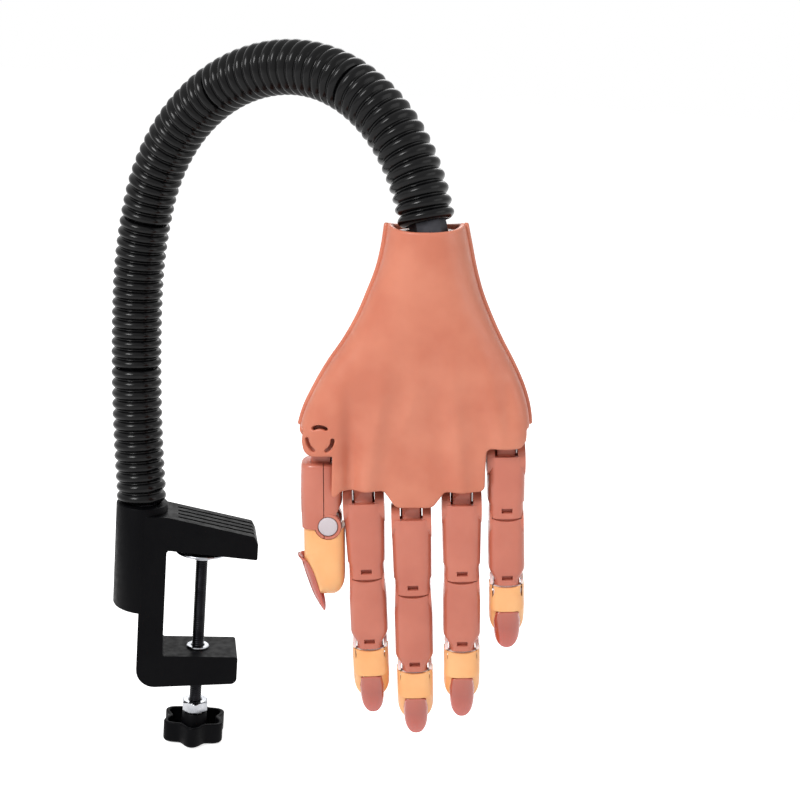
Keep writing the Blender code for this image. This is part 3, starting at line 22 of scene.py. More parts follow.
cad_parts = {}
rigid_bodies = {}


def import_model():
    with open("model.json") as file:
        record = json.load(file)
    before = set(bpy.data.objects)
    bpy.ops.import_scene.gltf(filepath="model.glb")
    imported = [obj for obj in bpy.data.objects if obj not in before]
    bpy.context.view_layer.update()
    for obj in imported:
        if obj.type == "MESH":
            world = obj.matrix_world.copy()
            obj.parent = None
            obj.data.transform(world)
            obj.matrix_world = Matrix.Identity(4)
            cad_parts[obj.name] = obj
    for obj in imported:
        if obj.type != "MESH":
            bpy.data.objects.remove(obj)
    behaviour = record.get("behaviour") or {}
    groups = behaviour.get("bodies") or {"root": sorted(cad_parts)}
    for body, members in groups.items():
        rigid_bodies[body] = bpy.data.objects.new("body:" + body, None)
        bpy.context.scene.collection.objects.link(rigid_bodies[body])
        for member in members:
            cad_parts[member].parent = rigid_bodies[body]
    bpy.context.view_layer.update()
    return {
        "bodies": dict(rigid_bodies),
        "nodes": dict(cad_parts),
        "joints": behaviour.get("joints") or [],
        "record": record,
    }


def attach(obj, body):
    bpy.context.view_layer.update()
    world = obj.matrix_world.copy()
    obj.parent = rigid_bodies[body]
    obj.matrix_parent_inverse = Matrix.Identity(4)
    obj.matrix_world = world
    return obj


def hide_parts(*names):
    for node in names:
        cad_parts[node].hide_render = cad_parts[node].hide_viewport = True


LOG = logging.getLogger("practice_hand")
Array = np.ndarray
GAP = 0.0003


# Frames and surfaces


@dataclass(frozen=True)
class Place:
    """A right-handed frame: a 4 by 4 matrix from its own coordinates to the row frame."""

    matrix: Array

    @staticmethod
    def of(origin: Array, right: Array, up: Array) -> "Place":
        """Makes a frame with X along right and Z as near to up as a right angle allows."""
        x = np.asarray(right, float) / np.linalg.norm(right)
        z = np.asarray(up, float) - np.dot(up, x) * x
        z = z / np.linalg.norm(z)
        made = np.eye(4)
        made[:3, :3] = np.column_stack([x, np.cross(z, x), z])
        made[:3, 3] = origin
        return Place(made)

    def at(self, points: Array) -> Array:
        """Carries points of this frame, (..., 3), to the row frame."""
        return np.asarray(points, float) @ self.matrix[:3, :3].T + self.matrix[:3, 3]

    def into(self, points: Array) -> Array:
        """Carries points of the row frame, (..., 3), into this frame."""
        return (np.asarray(points, float) - self.matrix[:3, 3]) @ self.matrix[:3, :3]

    def moved(self, x: float, y: float, z: float) -> "Place":
        """This frame with its origin moved along its own axes."""
        step = np.eye(4)
        step[:3, 3] = (x, y, z)
        return Place(self.matrix @ step)

    def turned(self, axis: str, angle: float) -> "Place":
        """This frame turned about one of its own axes."""
        return Place(self.matrix @ np.array(Matrix.Rotation(angle, 4, axis)))


ROW = Place(np.eye(4))


def signed_volume(points: Array, triangles: Array) -> float:
    """A sixth of the sum of each triangle's box product: above 0 where faces point outwards."""
    a, b, c = (points[triangles[:, k]] for k in range(3))
    return float(np.einsum("ij,ij->", a, np.cross(b, c)) / 6.0)


def new_object(name: str, points: Array, faces: list) -> bpy.types.Object:
    """Puts points and faces into a mesh object at the origin.

    Args:
        name: the object's name.
        points: (n, 3) in the row frame.
        faces: lists of point numbers.

    Returns:
        The linked object, shaded smooth.
    """
    mesh = bpy.data.meshes.new(name)
    mesh.from_pydata(points.tolist(), [], faces)
    mesh.validate()
    mesh.shade_smooth()
    obj = bpy.data.objects.new(name, mesh)
    bpy.context.scene.collection.objects.link(obj)
    return obj


def grid_quads(rows: int, sides: int, wrap: bool = True) -> Array:
    """Quads of a grid of rows by sides points: (i, j), (i, j+1), (i+1, j+1), (i+1, j)."""
    j = np.arange(sides if wrap else sides - 1)
    i = np.arange(rows - 1)[:, None]
    after = (j + 1) % sides
    return np.stack([i * sides + j, i * sides + after, (i + 1) * sides + after, (i + 1) * sides + j],
                    axis=-1).reshape(-1, 4)


def loft(name: str, rings: Array, place: Place) -> bpy.types.Object:
    """A closed body through rings of equally many points, with a flat face at each end.

    Args:
        name: the object's name.
        rings: (rows, sides, 3) in the frame of place.
        place: the frame that the rings are in.

    Returns:
        The object, with its faces pointing outwards.
    """
    rings = np.asarray(rings, float)
    rows, sides = rings.shape[:2]
    points = place.at(rings.reshape(-1, 3))
    quads = grid_quads(rows, sides)
    first = np.arange(sides)
    last = first + (rows - 1) * sides
    fans = np.concatenate([
        np.stack([np.full(sides - 2, first[0]), first[2:], first[1:-1]], axis=1),
        np.stack([np.full(sides - 2, last[0]), last[1:-1], last[2:]], axis=1)])
    triangles = np.concatenate([quads[:, [0, 1, 2]], quads[:, [0, 2, 3]], fans])
    faces = quads.tolist() + [first[::-1].tolist(), last.tolist()]
    if signed_volume(points - points.mean(axis=0), triangles) < 0:
        faces = [face[::-1] for face in faces]
    return new_object(name, points, faces)


def full_turn(sides: int) -> Array:
    """Even angles round a circle."""
    return np.arange(sides) * (2 * math.pi / sides)


def polar_rings(radius: Array, height: Array, angle: Array) -> Array:
    """Rings about Z: a radius for each row, or for each row and angle, at each row's height."""
    level = np.repeat(height[:, None], len(angle), axis=1)
    return np.stack([radius * np.cos(angle), radius * np.sin(angle), level], axis=-1)


def turned_rings(profile: Array, axis: str, sides: int) -> Array:
    """Circles about an axis from rows of (height, radius)."""
    height, radius = np.asarray(profile, float).T
    rings = polar_rings(radius[:, None], height, full_turn(sides))
    return rings[..., {"X": [2, 0, 1], "Y": [1, 2, 0], "Z": [0, 1, 2]}[axis]]


def spin(name: str, profile: Array, place: Place, axis: str = "Z", sides: int = 48) -> bpy.types.Object:
    """A body of revolution: each (height, radius) of the profile becomes a ring about the axis."""
    return loft(name, turned_rings(profile, axis, sides), place)


def wrapped(name: str, rings: Array, place: Place) -> bpy.types.Object:
    """A closed body whose grid of rings joins up both ways, as a ring or a sleeve does."""
    rows, sides = rings.shape[:2]
    points = place.at(rings.reshape(-1, 3))
    quads = grid_quads(rows + 1, sides) % (rows * sides)
    triangles = np.concatenate([quads[:, [0, 1, 2]], quads[:, [0, 2, 3]]])
    if signed_volume(points - points.mean(axis=0), triangles) < 0:
        quads = quads[:, ::-1]
    return new_object(name, points, quads.tolist())


def sleeve(name: str, profile: Array, place: Place, axis: str = "Y", sides: int = 40) -> bpy.types.Object:
    """A closed ring: a loop of (height, radius) turned about an axis."""
    return wrapped(name, turned_rings(profile, axis, sides), place)


def rod_profile(radius: float, low: float, high: float, soft: float = 0.0, steps: int = 4) -> Array:
    """(height, radius) along a rod whose two rims are quarter circles of radius soft."""
    if soft <= 0.0:
        return np.array([(low, radius), (high, radius)])
    turn = np.linspace(0, math.pi / 2, steps + 1)
    inward, edge = soft * (1 - np.cos(turn)), radius - soft * (1 - np.sin(turn))
    start, end = (np.stack([height, edge], axis=1) for height in (low + inward, high - inward))
    return np.concatenate([start, end[::-1]])


def slab(name: str, outline: Array, low: float, high: float, place: Place, axis: str = "Y") -> bpy.types.Object:
    """A flat outline carried along one axis: (X, Z) along Y, (Y, Z) along X or (X, Y) along Z."""
    a, b = np.asarray(outline, float).T
    rings = []
    for h in (low, high):
        level = np.full_like(a, h)
        rings.append(np.stack({"X": (level, a, b), "Y": (a, level, b), "Z": (a, b, level)}[axis], axis=-1))
    return loft(name, rings, place)


def brick(name: str, low: tuple, high: tuple, place: Place) -> bpy.types.Object:
    """A block between two corners, used to cut."""
    x = (low[0], high[0], high[0], low[0])
    z = (low[2], low[2], high[2], high[2])
    return slab(name, np.stack([x, z], axis=1), low[1], high[1], place)


def rounded(corners: list, steps: int = 6) -> Array:
    """A closed outline through corners (a, b, radius), each with an arc of its radius.

    The arc's centre lies on the corner's half angle at radius / sin(half), and its points are
    the chord's points pushed out to the radius.
    """
    points = []
    for k, (a, b, radius) in enumerate(corners):
        here = Vector((a, b))
        back = (Vector(corners[k - 1][:2]) - here).normalized()
        ahead = (Vector(corners[(k + 1) % len(corners)][:2]) - here).normalized()
        if radius == 0.0:
            points.append(tuple(here))
            continue
        half = back.angle(ahead) / 2
        centre = here + (back + ahead).normalized() * (radius / math.sin(half))
        first = here + back * (radius / math.tan(half)) - centre
        last = here + ahead * (radius / math.tan(half)) - centre
        for mix in np.linspace(0, 1, steps + 1):
            points.append(tuple(centre + first.slerp(last, mix) * radius))
    return np.array(points)


def oval(half_width: Array, back: Array, front: Array, squareness: float, sides: int = 72) -> tuple:
    """A superellipse ring: x = w cos^(2/n), y = d sin^(2/n), with its own depth at back and front."""
    angle = (np.arange(sides) + 0.5) * (2 * math.pi / sides)
    power = 2.0 / squareness
    x = half_width * np.sign(np.cos(angle)) * np.abs(np.cos(angle)) ** power
    rise = np.sign(np.sin(angle)) * np.abs(np.sin(angle)) ** power
    return x, np.where(rise < 0, back * rise, front * rise)


def oval_rings(stations: Array, squareness: float, sides: int = 72) -> Array:
    """Rings for a loft from rows of (height, half width, back, front)."""
    made = []
    for height, half_width, back, front in stations:
        x, y = oval(half_width, back, front, squareness, sides)
        made.append(np.stack([x, y, np.full_like(x, height)], axis=1))
    return np.array(made)


def smooth_rows(table: Array, share: Array) -> Array:
    """Values between a table's rows on a cubic that keeps each row's central slope.

    Args:
        table: (rows, 1 + columns); the first column is the share along.
        share: (n,) places to read.

    Returns:
        (n, columns) values.
    """
    key, value = table[:, 0], table[:, 1:]
    slope = np.gradient(value, key, axis=0)
    k = np.clip(np.searchsorted(key, share, side="right") - 1, 0, len(key) - 2)
    width = (key[k + 1] - key[k])[:, None]
    t = np.clip((share - key[k])[:, None] / width, 0, 1)
    return ((2 * t ** 3 - 3 * t ** 2 + 1) * value[k] + (t ** 3 - 2 * t ** 2 + t) * width * slope[k]
            + (3 * t ** 2 - 2 * t ** 3) * value[k + 1] + (t ** 3 - t ** 2) * width * slope[k + 1])


class Body:
    """A closed surface that is cut and joined by others, and then settled as one mesh."""

    def __init__(self, obj: bpy.types.Object) -> None:
        """Starts from one closed object."""
        self.obj = obj
        self.tools: list[bpy.types.Object] = []

    def _combine(self, operation: str, tools: tuple) -> "Body":
        """Adds one exact boolean for each tool, in order."""
        for each in tools:
            modifier = self.obj.modifiers.new(each.name, "BOOLEAN")
            modifier.operation = operation
            modifier.solver = "EXACT"
            modifier.object = each
            each.hide_render = True
            self.tools.append(each)
        return self

    def cut(self, *tools: bpy.types.Object) -> "Body":
        """Takes the tools out of the body."""
        return self._combine("DIFFERENCE", tools)

    def join(self, *tools: bpy.types.Object) -> "Body":
        """Adds the tools to the body."""
        return self._combine("UNION", tools)

    def bore(self, radius: float, low: float, high: float, place: Place, axis: str, sides: int) -> "Body":
        """Cuts a round hole along one axis of a frame."""
        return self.cut(spin("bore", rod_profile(radius, low, high), place, axis, sides))

    def rod(self, radius: float, low: float, high: float, place: Place, axis: str, sides: int,
            soft: float = 0.0) -> "Body":
        """Adds a round rod along one axis of a frame."""
        return self.join(spin("rod", rod_profile(radius, low, high, soft), place, axis, sides))

    def settle(self) -> bpy.types.Object:
        """Works the booleans out, keeps the result as the mesh and removes the tools."""
        graph = bpy.context.evaluated_depsgraph_get()
        made = bpy.data.meshes.new_from_object(self.obj.evaluated_get(graph))
        self.obj.modifiers.clear()
        old, self.obj.data = self.obj.data, made
        bpy.data.meshes.remove(old)
        for each in self.tools:
            mesh = each.data
            bpy.data.objects.remove(each)
            bpy.data.meshes.remove(mesh)
        made.name = self.obj.name
        made.shade_smooth()
        return self.obj


def merged(name: str, parts: list) -> bpy.types.Object:
    """One object from several closed shells that stand in each other."""
    points, faces, start = [], [], 0
    for part in parts:
        mesh = part.data
        own = np.empty(len(mesh.vertices) * 3)
        mesh.vertices.foreach_get("co", own)
        points.append(own.reshape(-1, 3))
        faces += [[start + v for v in face.vertices] for face in mesh.polygons]
        start += len(mesh.vertices)
        bpy.data.objects.remove(part)
        bpy.data.meshes.remove(mesh)
    return new_object(name, np.concatenate(points), faces)


# Finishes


def linear(red: int, green: int, blue: int) -> tuple:
    """An sRGB colour as the linear colour that a shader takes."""
    share = np.array([red, green, blue]) / 255.0
    value = np.where(share <= 0.04045, share / 12.92, ((share + 0.055) / 1.055) ** 2.4)
    return (*value.tolist(), 1.0)


class NodeSheet:
    """A material's nodes, laid out from left to right as they are added."""

    def __init__(self, name: str) -> None:
        """Starts a material with its main shader."""
        self.material = bpy.data.materials.new(name)
        self.material.use_nodes = True
        self.tree = self.material.node_tree
        self.shader = self.tree.nodes["Principled BSDF"]
        self.count = 0

    def add(self, kind: str, **settings: object) -> bpy.types.Node:
        """Adds a node and sets its own settings."""
        node = self.tree.nodes.new(kind)
        node.location = (-1400 + 180 * self.count, -300)
        self.count += 1
        for key, value in settings.items():
            setattr(node, key, value)
        return node

    def link(self, source: bpy.types.NodeSocket, target: bpy.types.NodeSocket) -> None:
        """Joins two sockets."""
        self.tree.links.new(source, target)

    def fill(self, values: dict) -> None:
        """Sets constant values on the main shader."""
        for key, value in values.items():
            self.shader.inputs[key].default_value = value

    def object_coordinates(self, stretch: tuple = (1.0, 1.0, 1.0)) -> bpy.types.NodeSocket:
        """The object's own coordinates, stretched along its axes."""
        place = self.add("ShaderNodeTexCoord")
        mapping = self.add("ShaderNodeMapping")
        mapping.inputs["Scale"].default_value = stretch
        self.link(place.outputs["Object"], mapping.inputs["Vector"])
        return mapping.outputs["Vector"]

    def noise(self, source: bpy.types.NodeSocket, scale: float, detail: float = 3.0) -> bpy.types.NodeSocket:
        """A noise over the surface with scale cells to the metre."""
        node = self.add("ShaderNodeTexNoise")
        node.inputs["Scale"].default_value = scale
        node.inputs["Detail"].default_value = detail
        self.link(source, node.inputs["Vector"])
        return node.outputs["Fac"]

    def spread(self, source: bpy.types.NodeSocket, low: float, high: float) -> bpy.types.NodeSocket:
        """A noise's middle, 0.35 to 0.65, carried onto low to high."""
        node = self.add("ShaderNodeMapRange")
        node.inputs["From Min"].default_value = 0.35
        node.inputs["From Max"].default_value = 0.65
        node.inputs["To Min"].default_value = low
        node.inputs["To Max"].default_value = high
        self.link(source, node.inputs["Value"])
        return node.outputs["Result"]

    def blend(self, factor: bpy.types.NodeSocket, first: tuple, second: tuple) -> bpy.types.NodeSocket:
        """A colour between two by a factor."""
        node = self.add("ShaderNodeMix", data_type="RGBA")
        node.inputs[6].default_value = first
        node.inputs[7].default_value = second
        self.link(factor, node.inputs[0])
        return node.outputs[2]

    def bump(self, height: bpy.types.NodeSocket, distance: float, strength: float = 1.0) -> None:
        """Lifts the shading by a height, in metres."""
        node = self.add("ShaderNodeBump")
        node.inputs["Distance"].default_value = distance
        node.inputs["Strength"].default_value = strength
        self.link(height, node.inputs["Height"])
        self.link(node.outputs["Normal"], self.shader.inputs["Normal"])


@dataclass(frozen=True)
class MouldedFinish:
    """Moulded plastic or rubber: a slow drift of colour, an uneven gloss and a fine grain."""

    name: str
    light: tuple
    deep: tuple
    roughness: float
    uneven: float = 0.08
    drift_cells: float = 55.0
    grain_cells: float = 2600.0
    grain_height: float = 0.00002
    coat: float = 0.0
    subsurface: float = 0.0
    specular: float = 0.5

    def build(self) -> bpy.types.Material:
        """Makes the material: colour drifts between deep and light, roughness by +- uneven."""
        sheet = NodeSheet(self.name)
        own = sheet.object_coordinates()
        drift = sheet.spread(sheet.noise(own, self.drift_cells), 0.0, 1.0)
        sheet.link(sheet.blend(drift, linear(*self.deep), linear(*self.light)),
                   sheet.shader.inputs["Base Color"])
        patches = sheet.spread(sheet.noise(own, self.drift_cells * 6), self.roughness - self.uneven,
                               self.roughness + self.uneven)
        sheet.link(patches, sheet.shader.inputs["Roughness"])
        sheet.bump(sheet.noise(own, self.grain_cells, 2.0), self.grain_height)
        sheet.fill({"Coat Weight": self.coat, "Coat Roughness": 0.12, "Specular IOR Level": self.specular})
        if self.subsurface > 0.0:
            sheet.fill({"Subsurface Weight": self.subsurface, "Subsurface Radius": (1.0, 0.35, 0.2),
                        "Subsurface Scale": 0.0015})
        return sheet.material


@dataclass(frozen=True)
class MetalFinish:
    """Plated or plain steel: fine turning marks in its gloss and a little colour drift."""

    name: str
    light: tuple
    deep: tuple
    roughness: float
    uneven: float = 0.06
    stretch: tuple = (1.0, 1.0, 14.0)
    mark_cells: float = 500.0

    def build(self) -> bpy.types.Material:
        """Makes the material: marks are a noise squeezed along Z, in roughness and bump."""
        sheet = NodeSheet(self.name)
        drift = sheet.spread(sheet.noise(sheet.object_coordinates(), 120.0), 0.0, 1.0)
        sheet.link(sheet.blend(drift, linear(*self.deep), linear(*self.light)),
                   sheet.shader.inputs["Base Color"])
        marks = sheet.noise(sheet.object_coordinates(self.stretch), self.mark_cells)
        sheet.link(sheet.spread(marks, self.roughness - self.uneven, self.roughness + self.uneven),
                   sheet.shader.inputs["Roughness"])
        sheet.bump(marks, 0.00001)
        sheet.fill({"Metallic": 1.0})
        return sheet.material


@dataclass(frozen=True)
class NailFinish:
    """A thin see-through nail: clearer and paler at its root, redder toward its free edge."""

    name: str
    root: tuple
    middle: tuple
    edge: tuple

    def build(self) -> bpy.types.Material:
        """Makes the material: colour by the along attribute, 0 at the root to 1 at the edge."""
        sheet = NodeSheet(self.name)
        along = sheet.add("ShaderNodeAttribute", attribute_name="along")
        ramp = sheet.add("ShaderNodeValToRGB")
        ramp.color_ramp.elements[0].color = linear(*self.root)
        ramp.color_ramp.elements[1].color = linear(*self.edge)
        middle = ramp.color_ramp.elements.new(0.45)
        middle.color = linear(*self.middle)
        sheet.link(along.outputs["Fac"], ramp.inputs["Fac"])
        own = sheet.object_coordinates()
        cloud = sheet.spread(sheet.noise(own, 160.0), 0.0, 0.10)
        mixed = sheet.add("ShaderNodeMix", data_type="RGBA")
        sheet.link(cloud, mixed.inputs[0])
        sheet.link(ramp.outputs["Color"], mixed.inputs[6])
        mixed.inputs[7].default_value = linear(*self.root)
        sheet.link(mixed.outputs[2], sheet.shader.inputs["Base Color"])
        sheet.link(sheet.spread(sheet.noise(own, 260.0), 0.14, 0.22), sheet.shader.inputs["Roughness"])
        sheet.bump(sheet.noise(own, 300.0, 2.0), 0.000003)
        sheet.fill({"Coat Weight": 0.6, "Coat Roughness": 0.08, "Subsurface Weight": 0.15,
                    "Subsurface Radius": (1.0, 0.3, 0.2), "Subsurface Scale": 0.001})
        return sheet.material


class Slot(Enum):
    """The record's material slots."""

    CLAMP = "clamp_black"
    HOSE = "hose_black"
    CHROME = "chrome"
    LINK = "link_metal"
    PIN = "pin_steel"
    PALE = "pale_plastic"
    SHELL = "shell_plastic"
    FINGER = "finger_plastic"
    TIP = "tip_plastic"
    NAIL = "nail_plastic"


FINISHES = {
    Slot.CLAMP: MouldedFinish("satin_black_plastic", (8, 8, 10), (5, 5, 7), 0.44, grain_cells=3200.0,
                              grain_height=0.00003, specular=0.05),
    Slot.HOSE: MouldedFinish("glossy_black_hose", (8, 8, 9), (4, 4, 5), 0.22, uneven=0.05,
                             grain_cells=1800.0, grain_height=0.00001, specular=0.18),
    Slot.CHROME: MetalFinish("bright_chrome", (186, 188, 192), (150, 152, 157), 0.20),
    Slot.LINK: MetalFinish("link_metal", (66, 66, 70), (44, 44, 48), 0.42),
    Slot.PIN: MetalFinish("pin_steel", (205, 200, 202), (180, 176, 178), 0.34),
    Slot.PALE: MouldedFinish("pale_clear_plastic", (246, 228, 224), (236, 214, 210), 0.32, coat=0.3,
                             subsurface=0.25, grain_height=0.000006),
    Slot.SHELL: MouldedFinish("shell_plastic", (214, 133, 106), (203, 119, 93), 0.40, subsurface=0.08,
                              specular=0.4, grain_height=0.000008),
    Slot.FINGER: MouldedFinish("finger_plastic", (202, 117, 95), (192, 106, 85), 0.34, uneven=0.04,
                               subsurface=0.06, specular=0.5, coat=0.10, grain_height=0.000005),
    Slot.TIP: MouldedFinish("tip_plastic", (252, 190, 130), (247, 175, 112), 0.38, subsurface=0.12,
                            specular=0.5, grain_height=0.000006),
    Slot.NAIL: NailFinish("nail_plastic", (190, 92, 70), (180, 74, 52), (205, 66, 34)),
}
DARK_STEEL = MetalFinish("dark_steel", (38, 38, 41), (24, 24, 27), 0.38, uneven=0.10)
PIN_CAP = MouldedFinish("pin_cap_plastic", (214, 204, 208), (202, 191, 195), 0.34, specular=0.4)


class Workshop:
    """Holds the frame and the finishes, and turns an object into a piece of the part."""

    def __init__(self, frame: dict) -> None:
        """Builds every finish once."""
        self.frame = frame
        self.joints = {joint["name"]: joint for joint in frame["joints"]}
        self.materials = {slot: finish.build() for slot, finish in FINISHES.items()}
        self.dark_steel = DARK_STEEL.build()
        self.pin_cap = PIN_CAP.build()

    def hinge(self, name: str) -> Array:
        """A hinge's place in the row frame."""
        return np.array(self.joints[name]["pos_m"], float)

    def axis(self, name: str) -> Array:
        """A joint's axis in the row frame."""
        return np.array(self.joints[name]["axis"], float)

    def piece(self, obj: bpy.types.Object, body: str, nodes: tuple, slot: Slot, bevel: float = 0.0,
              angle: float = 32.0, finish: bpy.types.Material | None = None) -> bpy.types.Object:
        """Dresses an object, softens its edges, and lets it ride on a body for its nodes.

        Args:
            obj: the finished object.
            body: the body that it moves with.
            nodes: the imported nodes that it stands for.
            slot: the record's material slot.
            bevel: the width of its soft edges, 0 for none.
            angle: the least angle of an edge that is softened, in degrees.
            finish: its material where that isn't the slot's own.

        Returns:
            The same object.
        """
        obj.data.materials.clear()
        obj.data.materials.append(finish or self.materials[slot])
        if bevel > 0.0:
            soft = obj.modifiers.new("soft_edges", "BEVEL")
            soft.width = bevel
            soft.segments = 2
            soft.limit_method = "ANGLE"
            soft.angle_limit = math.radians(angle)
            soft.harden_normals = True
            soft.use_clamp_overlap = True
        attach(obj, body)
        if nodes:
            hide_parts(*nodes)
        LOG.info("%s: %d faces, on %s", obj.name, len(obj.data.polygons), body)
        return obj

    def dress_nodes(self) -> None:
        """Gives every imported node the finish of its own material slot."""
        for name, obj in self.frame["nodes"].items():
            for k, held in enumerate(obj.material_slots):
                key = held.material.name.split(".")[0] if held.material else ""
                found = next((slot for slot in Slot if slot.value == key), Slot.FINGER)
                obj.data.materials[k] = self.materials[found]
            LOG.info("%s dressed", name)


# Studio


@dataclass
class Studio:
    """Camera, floor, backdrop and lamps."""

    eye: tuple = (-0.02437, -0.66966, 0.23236)
    into: tuple = (0.1392, 0.9903, 0.0)
    upward: tuple = (-0.0742, 0.0104, 0.9972)
    pitch: float = math.radians(13.5)
    view: float = math.radians(28.0)
    floor: float = -0.0890
    world_light: float = 0.40

    def camera(self) -> None:
        """Sets the camera: it looks along into, pitched down, with its picture square."""
        data = bpy.data.cameras.new("camera")
        data.sensor_width = 36.0
        data.lens = 18.0 / math.tan(self.view / 2)
        data.clip_start = 0.01
        obj = bpy.data.objects.new("camera", data)
        bpy.context.scene.collection.objects.link(obj)
        y, z = (Vector(axis).normalized() for axis in (self.into, self.upward))
        ahead = y * math.cos(self.pitch) - z * math.sin(self.pitch)
        up = z * math.cos(self.pitch) + y * math.sin(self.pitch)
        up = (up - ahead * up.dot(ahead)).normalized()
        side = ahead.cross(up)
        turn = Matrix((side, up, -ahead)).transposed().to_4x4()
        obj.matrix_world = Matrix.Translation(Vector(self.eye)) @ turn
        bpy.context.scene.camera = obj

    def white_for_camera(self, tree: bpy.types.NodeTree, plain: bpy.types.NodeSocket,
                         white: bpy.types.NodeSocket, out: bpy.types.NodeSocket) -> None:
        """Joins a plain shader and a white one by camera, glossy or transmission ray."""
        rays = tree.nodes.new("ShaderNodeLightPath")
        first = tree.nodes.new("ShaderNodeMath")
        first.operation = "MAXIMUM"
        second = tree.nodes.new("ShaderNodeMath")
        second.operation = "MAXIMUM"
        mix = tree.nodes.new("ShaderNodeMixShader")
        tree.links.new(rays.outputs["Is Camera Ray"], first.inputs[0])
        tree.links.new(rays.outputs["Is Glossy Ray"], first.inputs[1])
        tree.links.new(first.outputs[0], second.inputs[0])
        tree.links.new(rays.outputs["Is Transmission Ray"], second.inputs[1])
        tree.links.new(second.outputs[0], mix.inputs[0])
        tree.links.new(plain, mix.inputs[1])
        tree.links.new(white, mix.inputs[2])
        tree.links.new(mix.outputs[0], out)

    def world(self) -> None:
        """A pale world that reads as white to the camera and in reflections."""
        world = bpy.data.worlds.new("studio")
        world.use_nodes = True
        tree = world.node_tree
        plain = tree.nodes["Background"]
        plain.inputs["Color"].default_value = (1.0, 1.0, 1.0, 1.0)
        plain.inputs["Strength"].default_value = self.world_light
        white = tree.nodes.new("ShaderNodeBackground")
        white.inputs["Color"].default_value = (1.0, 1.0, 1.0, 1.0)
        white.inputs["Strength"].default_value = 1.0
        self.white_for_camera(tree, plain.outputs[0], white.outputs[0],
                              tree.nodes["World Output"].inputs["Surface"])
        bpy.context.scene.world = world

    def ground(self) -> None:
        """A wide pale floor under the lowest point, white to the camera but for its shadow."""
        reach = 6.0
        corners = np.array([(-reach, -reach), (reach, -reach), (reach, reach), (-reach, reach)])
        points = np.column_stack([corners, np.full(4, self.floor)])
        obj = new_object("studio_floor", points, [[0, 1, 2, 3]])
        made = bpy.data.materials.new("studio_floor")
        made.use_nodes = True
        tree = made.node_tree
        tree.nodes.remove(tree.nodes["Principled BSDF"])
        plain = tree.nodes.new("ShaderNodeBsdfDiffuse")
        plain.inputs["Color"].default_value = (0.82, 0.82, 0.82, 1.0)
        glow = tree.nodes.new("ShaderNodeEmission")
        glow.inputs["Strength"].default_value = 0.74
        both = tree.nodes.new("ShaderNodeAddShader")
        tree.links.new(plain.outputs[0], both.inputs[0])
        tree.links.new(glow.outputs[0], both.inputs[1])
        self.white_for_camera(tree, plain.outputs[0], both.outputs[0],
                              tree.nodes["Material Output"].inputs["Surface"])
        obj.data.materials.append(made)

    def lamp(self, name: str, place: tuple, aim: tuple, size: float, power: float) -> None:
        """A square soft lamp at a place, facing a point."""
        data = bpy.data.lights.new(name, "AREA")
        data.size = size
        data.energy = power
        obj = bpy.data.objects.new(name, data)
        bpy.context.scene.collection.objects.link(obj)
        turn = (Vector(aim) - Vector(place)).to_track_quat("-Z", "Y")
        obj.matrix_world = Matrix.Translation(Vector(place)) @ turn.to_matrix().to_4x4()

    def build(self) -> None:
        """Sets the colour handling, camera, world, floor and lamps."""
        bpy.context.scene.view_settings.view_transform = "Standard"
        self.camera()
        self.world()
        self.ground()
        middle = (0.05, -0.08, 0.08)
        self.lamp("key", (-0.80, -0.80, 1.00), middle, 0.5, 15.0)
        self.lamp("fill", (1.1, -0.75, 0.55), middle, 0.9, 4.0)
        self.lamp("rim", (0.35, 1.1, 0.9), middle, 0.8, 6.0)
        LOG.info("studio ready")


# Arm


